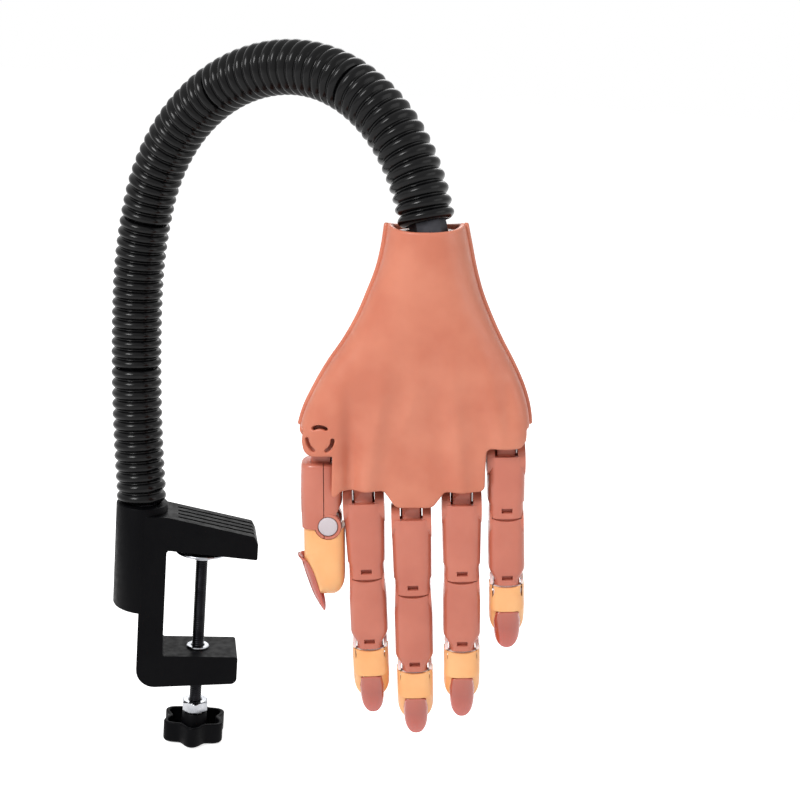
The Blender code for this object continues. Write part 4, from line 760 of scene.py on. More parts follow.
@dataclass
class RibbedHose:
    """The arm's ribbed hose: rings carried along a line of arcs, in five lengths."""

    shop: Workshop
    heading: float = math.radians(43.7)
    foot: tuple = (-0.02665, 0.0, 0.0178)
    start_offset: float = -0.0006
    arcs: tuple = ((0.012, -8.4), (0.080, 8.2), (0.0404, 13.6), (0.0791 * math.radians(72.0), 72.0),
                   (0.0637 * math.radians(56.0), 56.0), (0.0738 * math.radians(18.2), 18.2),
                   (0.0068, 0.0))
    shares: tuple = (0.0, 0.19, 0.385, 0.60, 0.81, 1.0)
    bodies: tuple = ("clamp", "arm_2", "arm_3", "arm_4", "arm_5")
    ridge: float = 0.0106
    valley: float = 0.00885
    wall: float = 0.0006
    pitch: float = 0.00433
    first: float = 0.0032
    rib_steps: int = 14
    rib_power: float = 0.8
    bore_rows: int = 40
    sides: int = 56

    def line(self, distance: Array) -> tuple:
        """The centre line: on each arc the heading turns evenly, x += r (cos a - cos b).

        Args:
            distance: (n,) lengths along the line.

        Returns:
            x, z in the arm's plane and the heading from upright, each (n,).
        """
        left = np.array(distance, float)
        x = np.full_like(left, self.start_offset)
        z = np.zeros_like(left)
        heading = np.zeros_like(left)
        for length, degrees in self.arcs:
            turn = math.radians(degrees)
            step = np.clip(left, 0.0, length)
            after = heading + turn * step / length
            if turn:
                x += length / turn * (np.cos(heading) - np.cos(after))
                z += length / turn * (np.sin(after) - np.sin(heading))
            else:
                x += step * np.sin(heading)
                z += step * np.cos(heading)
            heading = after
            left = left - step
        return x, z, heading

    def rings(self, distance: Array, radius: Array) -> Array:
        """Circles square to the line: centre + r (cos t across + sin t sideways)."""
        x, z, heading = self.line(distance)
        along = np.array([math.cos(self.heading), -math.sin(self.heading), 0.0])
        side = np.array([math.sin(self.heading), math.cos(self.heading), 0.0])
        up = np.array([0.0, 0.0, 1.0])
        centre = np.array(self.foot) + x[:, None] * along + z[:, None] * up
        across = np.cos(heading)[:, None] * along - np.sin(heading)[:, None] * up
        turn = full_turn(self.sides)
        return (centre[:, None] + radius[:, None, None]
                * (np.cos(turn)[:, None] * across[:, None] + np.sin(turn)[:, None] * side))

    def build(self) -> None:
        """Five lengths: round ribs outside, a plain bore inside, and a rim at each end."""
        total = sum(length for length, _ in self.arcs)
        for k, body in enumerate(self.bodies):
            low = self.shares[k] * total + (self.first if k == 0 else GAP / 3)
            high = self.shares[k + 1] * total - GAP / 3
            ribs = round((high - low) / self.pitch)
            steps = np.linspace(0.0, 1.0, ribs * self.rib_steps + 1)
            wave = np.abs(np.sin(math.pi * ribs * steps)) ** self.rib_power
            outside = self.rings(low + (high - low) * steps, self.valley + (self.ridge - self.valley) * wave)
            inside = self.rings(low + (high - low) * np.linspace(1, 0, self.bore_rows),
                                np.full(self.bore_rows, self.valley - self.wall))
            obj = wrapped(f"ribbed_hose_{k + 1}", np.concatenate([outside, inside]), ROW)
            self.shop.piece(obj, body, (f"hose_{k + 1}",), Slot.HOSE)


# Hand shells

THUMB_PIVOT = (-0.0396, 0.0788)
SHELL_SCREWS = ((-0.0032, 0.043), (-0.0032, 0.073))


@dataclass
class ShellForm:
    """The palm's skin: a superellipse section that changes down the hand, over a trimmed domain."""

    width: float = 0.086
    length: float = 0.110
    depth: float = 0.0285
    wall: float = 0.002
    overlap: float = 0.0015
    dip: float = 0.0025
    dip_end: float = 0.00715
    rows: tuple = (
        (0.000, -0.184, 0.177, -0.480, 0.470, 2.3), (0.065, -0.196, 0.193, -0.480, 0.480, 2.3),
        (0.150, -0.222, 0.215, -0.480, 0.500, 2.4), (0.225, -0.259, 0.241, -0.480, 0.520, 2.5),
        (0.305, -0.303, 0.280, -0.480, 0.530, 2.6), (0.390, -0.364, 0.329, -0.475, 0.540, 2.8),
        (0.470, -0.434, 0.382, -0.465, 0.540, 3.2), (0.555, -0.496, 0.429, -0.450, 0.530, 3.8),
        (0.635, -0.544, 0.456, -0.435, 0.510, 4.6), (0.700, -0.566, 0.462, -0.425, 0.480, 5.4),
        (0.780, -0.567, 0.446, -0.415, 0.450, 6.0), (0.870, -0.563, 0.436, -0.410, 0.430, 6.0),
        (1.000, -0.560, 0.430, -0.405, 0.420, 6.0))
    front: bool = True
    inset: float = 0.0
    fine: int = 400
    levels: int = 260

    def sizes(self, down: Array) -> Array:
        """Thumb side, little finger side, back, front in metres, and squareness, at each down."""
        made = smooth_rows(np.array(self.rows), np.asarray(down) / self.length)
        made[:, :2] *= self.width
        made[:, 2:4] *= self.depth
        return made

    def relief(self, x: Array, down: Array, rise: Array) -> Array:
        """Height added to the skin; the plain form has none."""
        return np.zeros_like(x)

    def section(self, angle: Array, down: Array) -> Array:
        """Points of the skin at an angle round the section and a distance down the hand.

        x = middle + half cos^(2/n), y = depth sin^(2/n) run past the seam by the overlap.

        Args:
            angle: (n,) from 0 at the little finger's side to pi at the thumb's.
            down: (n,) metres down the hand.

        Returns:
            (n, 3) points in the hand's frame.
        """
        thumb, little, back, front, squareness = self.sizes(down).T
        middle, half = (thumb + little) / 2, (little - thumb) / 2 - self.inset
        power = 2.0 / squareness
        x = middle + half * np.sign(np.cos(angle)) * np.abs(np.cos(angle)) ** power
        rise = np.abs(np.sin(angle)) ** power
        raised = self.relief(x, down, rise)
        if self.front:
            y = (front + self.overlap) * rise - self.overlap + raised
        else:
            y = (back - self.overlap) * rise + self.overlap - raised
        y = np.maximum(y, GAP / 2) if self.front else np.minimum(y, -GAP / 2)
        drop = self.dip * rise * np.clip(1 - down / self.dip_end, 0, 1)
        return np.stack([x, y, -down - drop], axis=1)

    def __post_init__(self) -> None:
        """Tabulates the skin and its normals on a grid of even arc shares and even steps down.

        Each level's curve starts where it leaves the seam, is sampled finely by its rise near
        both sides, and is read again at even shares of its length.
        """
        self.downs = np.linspace(0.0, self.length, self.levels)
        self.arcs = np.linspace(0.0, 1.0, self.fine)
        table = np.empty((self.levels, self.fine, 3))
        for k, down in enumerate(self.downs):
            _, _, back, front, squareness = self.sizes(np.array([down]))[0]
            reach = front if self.front else -back
            start = (self.overlap + GAP / 2) / (reach + self.overlap)
            climb = np.arcsin(np.linspace(start, 0.7, self.fine) ** (squareness / 2))
            ring = np.concatenate([climb, np.linspace(climb[-1], math.pi - climb[-1], self.fine)[1:-1],
                                   math.pi - climb[::-1]])
            curve = self.section(ring, np.full_like(ring, down))
            run = np.concatenate([[0.0], np.cumsum(np.linalg.norm(np.diff(curve, axis=0), axis=1))])
            share = run / run[-1]
            table[k] = np.stack([np.interp(self.arcs, share, curve[:, c]) for c in range(3)], axis=1)
        self.table = table
        normal = np.cross(np.gradient(table, axis=1), np.gradient(table, axis=0))
        normal /= np.maximum(np.linalg.norm(normal, axis=2, keepdims=True), 1e-12)
        self.normals = normal if np.sum(normal * table * (1.0, 1.0, 0.0)) > 0 else -normal

    def read(self, table: Array, domain: Array) -> Array:
        """A table read at (arc, down), linearly between its four nearest entries."""
        u = np.clip(domain[:, 0] / self.width, 0.0, 1.0) * (self.fine - 1)
        v = np.clip(domain[:, 1] / self.length, 0.0, 1.0) * (self.levels - 1)
        i = np.minimum(u.astype(int), self.fine - 2)
        j = np.minimum(v.astype(int), self.levels - 2)
        u, v = (u - i)[:, None], (v - j)[:, None]
        return ((table[j, i] * (1 - u) + table[j, i + 1] * u) * (1 - v)
                + (table[j + 1, i] * (1 - u) + table[j + 1, i + 1] * u) * v)

    def skin(self, domain: Array) -> Array:
        """Points of the skin at (arc, down) of the trimmed domain, with arc in hand widths."""
        return self.read(self.table, domain)

    def skin_normal(self, domain: Array) -> Array:
        """Unit normals of the skin, pointing out of the hand."""
        normal = self.read(self.normals, domain)
        return normal / np.maximum(np.linalg.norm(normal, axis=1, keepdims=True), 1e-12)

    def level(self, down: float) -> Array:
        """The skin's curve at one distance down, at even arc shares."""
        return self.skin(np.column_stack([self.arcs * self.width, np.full(self.fine, down)]))

    def domain_of(self, x: float, down: float) -> tuple:
        """The domain's place of a point that is seen straight on at x, down."""
        arc = np.interp(-x, -self.level(down)[:, 0], self.arcs)
        return float(arc * self.width), down

    def depth_at(self, x: float, down: float) -> float:
        """The skin's depth under a point that is seen straight on."""
        return float(self.skin(np.array([self.domain_of(x, down)]))[0, 1])

    def domain_at_depth(self, depth: float, down: float, thumb_side: bool) -> tuple:
        """The domain's place where the skin stands at a depth from the seam, on one side."""
        half = self.fine // 2
        part = slice(half, None) if thumb_side else slice(None, half)
        deep = np.abs(self.level(down)[part, 1])
        order = np.argsort(deep)
        return float(np.interp(depth, deep[order], self.arcs[part][order]) * self.width), down


@dataclass
class BackForm(ShellForm):
    """The back of the hand: the skin with low ridges that run to the knuckles."""

    front: bool = False
    inset: float = 0.0013
    ridge: float = 0.0021
    ridge_width: float = 0.0038
    ridge_start: float = 0.34
    ridge_end: float = 0.78
    gather: float = 0.35
    valley: float = 0.0020
    valley_edges: tuple = (-0.0335, 0.0345, 0.0060)
    knuckles: tuple = ((-0.0236, 0.1069), (-0.0056, 0.1132), (0.0134, 0.1075), (0.0299, 0.0886))
    crease_across: float = -0.0285
    crease_width: float = 0.0030
    crease_depth: float = 0.0018
    crease_start: float = 0.52
    crease_run: float = 0.25

    def relief(self, x: Array, down: Array, rise: Array) -> Array:
        """Ridges e^(-(x - line)^2 / w^2) toward each knuckle over sunk valleys, and a crease."""
        share = np.clip((down / self.length - self.ridge_start) / (self.ridge_end - self.ridge_start), 0, 1)
        share = share * share * (3 - 2 * share)
        thumb, little, ease = self.valley_edges
        within = np.clip((x - thumb) / ease, 0, 1) * np.clip((little - x) / ease, 0, 1)
        raised = -self.valley * within * within * (3 - 2 * within)
        for across, reach in self.knuckles:
            line = across * (self.gather + (1 - self.gather) * down / reach)
            raised += self.ridge * np.exp(-(((x - line) / self.ridge_width) ** 2))
        start = np.clip((down / self.length - self.crease_start) / self.crease_run, 0, 1)
        crease = self.crease_depth * start * np.exp(-(((x - self.crease_across) / self.crease_width) ** 2))
        return (raised * share - crease) * rise


def resample(loop: Array, step: float) -> Array:
    """A closed line as points a step apart, its corners kept where they are sharp."""
    closed = np.vstack([loop, loop[:1]])
    pieces = []
    for start, end in zip(closed[:-1], closed[1:]):
        count = max(1, int(round(np.linalg.norm(end - start) / step)))
        pieces.append(start + (end - start) * (np.arange(count) / count)[:, None])
    return np.concatenate(pieces)


def inside(points: Array, loop: Array) -> Array:
    """Whether each point lies in a closed line: it crosses an odd number of edges to its right."""
    x, y = points[:, :1], points[:, 1:]
    x0, y0 = loop.T
    x1, y1 = np.roll(loop, -1, axis=0).T
    spans = (y0 > y) != (y1 > y)
    with np.errstate(divide="ignore", invalid="ignore"):
        cross = x0 + (y - y0) * (x1 - x0) / (y1 - y0)
    return (np.sum(spans & (x < cross), axis=1) % 2).astype(bool)


def trimmed_shell(name: str, form: ShellForm, outline: Array, holes: list, place: Place,
                  step: float = 0.0011, fine: float = 0.0006, bulge: float = 0.0007,
                  hole_bulge: float = 0.0002) -> bpy.types.Object:
    """A walled skin over a trimmed domain, with a rounded edge all round it.

    The domain is a grid of points a step apart, kept clear of its edges and joined by a
    triangulation that holds every edge. The outer face is the skin there, the inner face lies a
    wall behind it along the skin's normal, and each edge is half an oval carried along its loop.

    Args:
        name: the object's name.
        form: the skin.
        outline: (n, 2) the domain's outer loop, as (arc, down).
        holes: loops of the openings in it.
        place: the hand's frame.
        step: the grid's spacing.
        fine: the loops' spacing.
        bulge: how far the rounded edge stands out past the outer loop.
        hole_bulge: the same, past the loop of a hole.

    Returns:
        The closed shell.
    """
    loops = [resample(outline, fine)] + [resample(hole, fine) for hole in holes]
    low, high = loops[0].min(axis=0), loops[0].max(axis=0)
    a, b = np.meshgrid(np.arange(low[0], high[0], step), np.arange(low[1], high[1], step))
    a[1::2] += step / 2
    grid = np.stack([a.ravel(), b.ravel()], axis=1)
    keep = inside(grid, loops[0])
    for hole in loops[1:]:
        keep &= ~inside(grid, hole)
    edges = np.concatenate(loops)
    grid = grid[keep]
    near = np.concatenate([np.min(((part[:, None] - edges) ** 2).sum(axis=2), axis=1)
                           for part in np.array_split(grid, 12)])
    grid = grid[near > (0.55 * fine) ** 2]
    flat = np.concatenate([edges, grid])
    starts = np.cumsum([0] + [len(loop) for loop in loops])
    segments = [(int(s + k), int(s + (k + 1) % len(loop)))
                for s, loop in zip(starts[:-1], loops) for k in range(len(loop))]
    scale = 1000.0
    found = delaunay_2d_cdt([Vector(p) for p in (flat * scale).tolist()], segments, [], 0, 1e-5)
    flat = np.array([tuple(p) for p in found[0]]) / scale
    faces = np.array(found[2])
    middle = flat[faces].mean(axis=1)
    keep = inside(middle, loops[0])
    for hole in loops[1:]:
        keep &= ~inside(middle, hole)
    faces = faces[keep]
    outer = form.skin(flat)
    normal = form.skin_normal(flat)
    count = len(outer)
    corners = outer[faces]
    facing = np.einsum("ij,ij->i", np.cross(corners[:, 1] - corners[:, 0], corners[:, 2] - corners[:, 0]),
                       normal[faces].sum(axis=1))
    faces = np.where(facing[:, None] < 0, faces[:, ::-1], faces)
    rim_steps = 6
    points = [outer, outer - form.wall * normal]
    strips = []
    total = 2 * count
    for s, loop in zip(starts[:-1], loops):
        ring = np.arange(s, s + len(loop))
        ahead = np.roll(outer[ring], -1, axis=0) - np.roll(outer[ring], 1, axis=0)
        out = np.cross(ahead, normal[ring])
        out /= np.maximum(np.linalg.norm(out, axis=1, keepdims=True), 1e-12)
        outward = np.einsum("ij,ij->i", out, outer[ring] - outer[ring].mean(axis=0))
        sign = 1.0 if np.sum(outward) > 0 else -1.0
        out = out * (sign if s == 0 else -sign)
        level = np.linspace(0, math.pi, rim_steps + 1)[1:-1]
        stand = bulge if s == 0 else hole_bulge
        rim = (outer[ring][None] - normal[ring][None] * (form.wall / 2) * (1 - np.cos(level))[:, None, None]
               + out[None] * stand * np.sin(level)[:, None, None])
        points.append(rim.reshape(-1, 3))
        between = total + np.arange(len(level) * len(ring)).reshape(len(level), len(ring))
        rows = [ring, *between, ring + count]
        total += rim.shape[0] * len(ring)
        for upper, lower in zip(rows[:-1], rows[1:]):
            strips.append(np.stack([upper, np.roll(upper, -1), np.roll(lower, -1), lower], axis=1))
    quads = np.concatenate(strips)
    everything = np.concatenate(points)
    tri = np.concatenate([faces, faces[:, ::-1] + count])
    obj = new_object(name, place.at(everything), tri.tolist() + quads.tolist())
    work = bmesh.new()
    work.from_mesh(obj.data)
    bmesh.ops.recalc_face_normals(work, faces=work.faces)
    work.to_mesh(obj.data)
    work.free()
    obj.data.shade_smooth()
    return obj


@dataclass
class HandShells:
    """The hand's two shells, with the posts and bosses that stand in them."""

    shop: Workshop
    hand: Place
    thumb: tuple = THUMB_PIVOT
    side_top: float = 0.0750
    side_depth: float = 0.0083
    slot_radius: float = 0.0048
    slot_half: float = 0.0009
    slot_sweep: float = math.radians(58.0)
    screws: tuple = SHELL_SCREWS
    screw_head: float = 0.0029
    post_places: tuple = ((-0.0236, 0.0949), (-0.0059, 0.1012), (0.0133, 0.0955), (0.0296, 0.0766))
    post_radius: float = 0.0018

    def lower_edge(self, form: ShellForm, corners: list, thumb_corner: tuple, little_corner: tuple) -> Array:
        """A shell's outer loop: the wrist rim, the seams, the side openings and the lower edge.

        Each corner of the lower edge is (x, down, radius) as seen straight on; the corners over
        the side openings are (down, radius) on the line where the skin stands clear of the seam.
        """
        thumb_top = form.domain_at_depth(self.side_depth, self.side_top, True)
        little_top = form.domain_at_depth(self.side_depth, self.side_top, False)
        line = [(0.0, 0.0, 0.0), (form.width, 0.0, 0.0), (form.width, self.side_top, 0.0004),
                (*thumb_top, 0.0012),
                (*form.domain_at_depth(self.side_depth, thumb_corner[0], True), thumb_corner[1])]
        line += [(*form.domain_of(x, down), radius) for x, down, radius in corners]
        line += [(*form.domain_at_depth(self.side_depth, little_corner[0], False), little_corner[1]),
                 (*little_top, 0.0012), (0.0, self.side_top, 0.0004)]
        return rounded(line, 8)

    def arc_slot(self, form: ShellForm, middle: float) -> Array:
        """A curved slot round the thumb's pivot: two arcs joined by half circles."""
        sweep = self.slot_sweep / 2
        turn = np.linspace(middle - sweep, middle + sweep, 12)
        cap = np.linspace(0, math.pi, 7)[1:-1]
        outer = np.stack([np.cos(turn), np.sin(turn)], axis=1) * (self.slot_radius + self.slot_half)
        inner = np.stack([np.cos(turn), np.sin(turn)], axis=1)[::-1] * (self.slot_radius - self.slot_half)
        ends = []
        for angle, sense in ((turn[-1], 1.0), (turn[0], -1.0)):
            centre = np.array([math.cos(angle), math.sin(angle)]) * self.slot_radius
            start = angle if sense > 0 else angle + math.pi
            ends.append(centre + self.slot_half * np.stack([np.cos(start + cap), np.sin(start + cap)], axis=1))
        loop = np.concatenate([outer, ends[0], inner, ends[1]])
        return np.array([form.domain_of(self.thumb[0] + x, self.thumb[1] - z) for x, z in loop])

    def round_hole(self, form: ShellForm, x: float, down: float, radius: float) -> Array:
        """A circle on the skin as seen straight on."""
        turn = np.arange(28) * (2 * math.pi / 28)
        return np.array([form.domain_of(x + radius * math.cos(a), down + radius * math.sin(a)) for a in turn])

    def build(self) -> None:
        """The back shell with its lobe and slots, and the palm shell with posts and screw wells."""
        back = BackForm()
        corners = [(-0.0452, 0.0850, 0.0034), (-0.0342, 0.0846, 0.0012), (-0.0349, 0.1010, 0.0004),
                   (-0.0322, 0.0984, 0.0012), (-0.0156, 0.0984, 0.0022), (-0.0112, 0.1050, 0.0022),
                   (0.0020, 0.1050, 0.0022), (0.0064, 0.0988, 0.0022), (0.0211, 0.0988, 0.0016),
                   (0.0219, 0.0822, 0.0020), (0.0350, 0.0820, 0.0020)]
        outline = self.lower_edge(back, corners, (0.0800, 0.0024), (0.0798, 0.0016))
        slots = [self.arc_slot(back, math.radians(angle)) for angle in (90.0, 210.0, 330.0)]
        shell = trimmed_shell("back_of_hand_shell", back, outline, slots, self.hand)
        self.shop.piece(shell, "hand", ("back_shell",), Slot.SHELL)

        palm = ShellForm()
        corners = [(-0.0450, 0.0846, 0.0030), (-0.0340, 0.0842, 0.0012), (-0.0338, 0.0968, 0.0010),
                   (-0.0156, 0.0968, 0.0022),
                   (-0.0112, 0.1032, 0.0022), (0.0020, 0.1032, 0.0022), (0.0062, 0.0975, 0.0022),
                   (0.0211, 0.0975, 0.0016), (0.0221, 0.0788, 0.0016)]
        outline = self.lower_edge(palm, corners, (0.0800, 0.0020), (0.0788, 0.0012))
        wells = [self.round_hole(palm, x, down, self.screw_head) for x, down in self.screws]
        shell = trimmed_shell("palm_side_shell", palm, outline, wells, self.hand)
        parts = [shell]
        for (x, down) in (*self.post_places, self.thumb):
            radius = 0.0022 if (x, down) == self.thumb else self.post_radius
            depth = palm.depth_at(x, down)
            parts.append(spin("post", rod_profile(radius, -0.0074, depth - palm.wall / 2, 0.0004),
                              self.hand.moved(x, 0.0, -down), "Y", 24))
        for x, down in self.screws:
            depth = palm.depth_at(x, down)
            seat = depth - 0.0016
            profile = np.array([(seat, 0.0015), (seat, 0.0032), (0.0008, 0.0032), (0.0008, 0.0015)])
            parts.append(sleeve("screw_boss", profile, self.hand.moved(x, 0.0, -down)))
            profile = np.array([(depth - 0.0001, self.screw_head), (depth - 0.0001, 0.0039),
                                (seat, 0.0039), (seat, self.screw_head)])
            parts.append(sleeve("screw_well", profile, self.hand.moved(x, 0.0, -down)))
        whole = merged("palm_side_shell", parts)
        self.shop.piece(whole, "hand", ("palm_shell",), Slot.SHELL)


# Fingers


@dataclass(frozen=True)
class HingeForm:
    """The sizes of one hinge: its tongue, its ears and the pin through both."""

    tongue_width: float
    slot_width: float
    tongue_radius: float
    ear_radius: float
    pin_radius: float
    lip: float = 0.002


KNUCKLE = HingeForm(0.0069, 0.0086, 0.0044, 0.0066, 0.0016)
MIDDLE_HINGE = HingeForm(0.0105, 0.0111, 0.0044, 0.0060, 0.0011)
END_HINGE = HingeForm(0.0100, 0.0106, 0.0040, 0.0054, 0.0011)
UPPER_RELIEF = math.radians(46.0)
LOWER_RELIEF = math.radians(43.0)
FIT = 0.0001
SPARE = 0.004
BORE_REACH = 0.006


def wedge(name: str, hinge: Place, angle: float, upper: bool) -> bpy.types.Object:
    """A block from a hinge's axis toward the palm, tilted, that clears a piece for bending."""
    reach = 0.0285
    low, high = (-reach, -GAP) if upper else (GAP, reach)
    return brick(name, (-reach, 0.0, low), (reach, reach, high), hinge.turned("X", angle))


def slot_side(form: HingeForm, far: float, steps: int = 22) -> Array:
    """A fork's slot in side view: round below the axis, open to the palm and above the lip."""
    room = form.tongue_radius + GAP
    start = math.asin((form.lip - FIT) / room)
    turn = math.pi - start + (math.pi + start - LOWER_RELIEF) * np.linspace(0, 1, steps + 1)
    ring = room * np.stack([np.cos(turn), np.sin(turn)], axis=1)
    return np.concatenate([[(far, far), (-far, far), (-far, form.lip - FIT)], ring,
                           [(far, -far * math.tan(LOWER_RELIEF))]])


def shape_tongue(body: Body, hinge: Place, form: HingeForm) -> None:
    """Lower end of a piece: room for the ears, a relief toward the palm, tongue and bore."""
    half = form.tongue_width / 2
    for sign in (-1, 1):
        ends = sorted((sign * half, sign * (half + form.ear_radius)))
        body.bore(form.ear_radius + GAP, *ends, hinge, "X", 56)
    body.cut(wedge("upper_relief", hinge, UPPER_RELIEF, True))
    body.rod(form.tongue_radius, -half + FIT, half - FIT, hinge, "X", 52)
    body.bore(form.pin_radius + GAP, -half - BORE_REACH, half + BORE_REACH, hinge, "X", 24)


def shape_fork(body: Body, hinge: Place, form: HingeForm, width: float, relieved: bool = True) -> None:
    """Upper end of a piece: ears about the hinge, the slot between them and the bore."""
    if relieved:
        body.cut(wedge("lower_relief", hinge, -LOWER_RELIEF, False))
    half = width / 2 - FIT
    body.rod(form.ear_radius, -half, half, hinge, "X", 60)
    far = form.ear_radius + SPARE
    body.cut(slab("slot", slot_side(form, far), -form.slot_width / 2, form.slot_width / 2, hinge, "X"))
    body.bore(form.pin_radius + GAP, -width, width, hinge, "X", 24)


def smile(name: str, half: float, depth: float, high: float, back: float, inner: float,
          place: Place) -> bpy.types.Object:
    """A lens that opens an edge at a height: its lower side falls by depth (1 - (x / half)^2)."""
    across = np.linspace(-half, half, 17)
    low = high - depth * (1 - (across / half) ** 2)
    outline = np.vstack([np.stack([across, low], axis=1), [(half, high + 0.0005), (-half, high + 0.0005)]])
    return slab(name, outline, -back, -inner, place)


@dataclass
class JointedFinger:
    """One finger from its knuckle to its end hinge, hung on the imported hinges."""

    shop: Workshop
    name: str
    knuckle_width: float
    upper_width: float
    ear_width: float
    middle_width: float
    half_depth: float
    squareness: float = 3.6
    step_rise: float = 0.0085
    step_height: float = 0.0008
    shoulder_rise: float = 0.0090
    end_rise: float = 0.0030
    window: tuple = (0.0041, 0.0019, 0.0022, 0.0021)
    soft: float = 0.00035
    crescent: tuple = (0.0054, 0.0009)
    crescent_depth: float = 0.0013
    eye: tuple = (0.0043, 0.0066)
    eye_bore: float = 0.0021
    eye_reach: float = 0.011
    neck: tuple = (-0.0036, 0.0037)
    web: tuple = (0.0003, 0.0031, -0.0026)

    def __post_init__(self) -> None:
        """Reads the finger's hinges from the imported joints."""
        knuckle, middle, end = (self.shop.hinge(f"{self.name}_{part}_bend")
                                for part in ("knuckle", "middle", "end"))
        right = self.shop.axis(f"{self.name}_knuckle_bend")
        self.knuckle = Place.of(knuckle, right, knuckle - middle)
        self.middle = Place.of(middle, right, knuckle - middle)
        self.end = Place.of(end, right, middle - end)
        self.upper_length = float(np.linalg.norm(knuckle - middle))
        self.middle_length = float(np.linalg.norm(middle - end))

    def window_tool(self, hinge: Place) -> bpy.types.Object:
        """The small window in the back, just above the hinge below."""
        width, height, depth, rise = self.window
        low = KNUCKLE.lip + GAP + rise
        return brick("window", (-width / 2, -self.half_depth - SPARE, low),
                     (width / 2, -self.half_depth + depth, low + height), hinge)

    def build_knuckle(self) -> None:
        """The block between the shells: an eye on its post, a neck, a web, a tongue and trunnions.

        Odd counts of sides keep the round pieces' edges off the flat pieces' faces.
        """
        post_at = self.shop.hinge(f"{self.name}_spread")
        axis = -self.shop.axis(f"{self.name}_spread")
        up = np.cross(np.array([1.0, 0.0, 0.0]), axis)
        post = Place.of(post_at, np.cross(axis, up), up)
        rise = float(self.knuckle.into(post_at)[2])
        half = KNUCKLE.tongue_width / 2
        eye, tall = self.eye
        body = Body(spin(f"{self.name}_knuckle_block", rod_profile(eye, -tall, tall, 0.0004), post, "Y", 44))
        back, front = self.neck
        body.join(brick("neck", (-half + FIT, back, 0.0), (half - FIT, front, rise), self.knuckle))
        body.rod(KNUCKLE.tongue_radius, -half, half, self.knuckle, "X", 53, 0.0004)
        wide = KNUCKLE.slot_width / 2 - GAP
        back, front, low = self.web
        body.join(brick("web", (-wide, back, low), (wide, front, KNUCKLE.ear_radius + GAP), self.knuckle))
        reach = self.knuckle_width / 2 - GAP
        body.rod(KNUCKLE.pin_radius, -reach, reach, self.knuckle, "X", 29, 0.0002)
        body.bore(self.eye_bore, -self.eye_reach, self.eye_reach, post, "Y", 28)
        self.shop.piece(body.settle(), f"{self.name}_base", (f"{self.name}_knuckle",), Slot.FINGER)

    def build_upper(self) -> None:
        """The upper length: a superellipse body with a side step, a fork above, a tongue below."""
        depth, low = self.half_depth, -self.upper_length
        bottom, step = low + KNUCKLE.lip + GAP, low + self.step_rise
        rows = [(KNUCKLE.lip, self.knuckle_width / 2)]
        rows += [(z, np.interp(z, (step, KNUCKLE.lip), (self.upper_width / 2, self.knuckle_width / 2)))
                 for z in np.linspace(KNUCKLE.lip, step, 6)[1:]]
        rows += [(step - self.step_height, self.ear_width / 2), (bottom, self.ear_width / 2)]
        stations = [(z, w, depth, depth) for z, w in rows]
        body = Body(loft(f"{self.name}_upper_length", oval_rings(stations, self.squareness), self.knuckle))
        shape_fork(body, self.knuckle, KNUCKLE, self.knuckle_width)
        shape_tongue(body, self.middle, MIDDLE_HINGE)
        body.cut(self.window_tool(self.middle))
        self.shop.piece(body.settle(), f"{self.name}_upper", (f"{self.name}_proximal",), Slot.FINGER, self.soft)

    def build_middle(self) -> None:
        """The middle length: shoulders that draw in to the block over the end hinge."""
        depth, low = self.half_depth, -self.middle_length
        half, block = self.middle_width / 2, END_HINGE.tongue_width / 2 - GAP
        top, end = low + self.shoulder_rise, low + self.end_rise
        turn = np.linspace(0, 1, 9)
        ease = turn * turn * (3 - 2 * turn)
        rows = [(KNUCKLE.lip, self.ear_width / 2, 0.0), (-0.0060, half, 0.0), (top, half, 0.0)]
        rows += [(z, w, t) for z, w, t in zip(np.interp(turn, (0, 1), (top, end))[1:],
                                             np.interp(ease, (0, 1), (half, block))[1:], ease[1:])]
        rows.append((low + KNUCKLE.lip + GAP, block, 1.0))
        stations = [(z, w, depth - t * self.step_height / 2, depth - t * self.step_height) for z, w, t in rows]
        body = Body(loft(f"{self.name}_middle_length", oval_rings(stations, self.squareness), self.middle))
        shape_fork(body, self.middle, MIDDLE_HINGE, self.ear_width)
        body.cut(smile("crescent", *self.crescent, KNUCKLE.lip, depth + SPARE, depth - self.crescent_depth,
                       self.middle))
        shape_tongue(body, self.end, END_HINGE)
        body.cut(self.window_tool(self.end))
        self.shop.piece(body.settle(), f"{self.name}_mid", (f"{self.name}_middle",), Slot.FINGER, self.soft)

    def build_pins(self, end_half: float) -> None:
        """The two steel pins, each a rod with soft rims through its hinge."""
        for part, hinge, form, half, body in (
                ("middle", self.middle, MIDDLE_HINGE, self.ear_width / 2 - GAP, "mid"),
                ("end", self.end, END_HINGE, end_half - 2 * GAP, "tip")):
            obj = spin(f"{self.name}_{part}_steel_pin", rod_profile(form.pin_radius, -half, half, 0.00025),
                       hinge, "X", 28)
            self.shop.piece(obj, f"{self.name}_{body}", (f"{self.name}_{part}_pin",), Slot.PIN)

    def build(self, end_half: float) -> None:
        """Every piece of the finger above its tip, with pins to the tip's half width."""
        self.build_knuckle()
        self.build_upper()
        self.build_middle()
        self.build_pins(end_half)


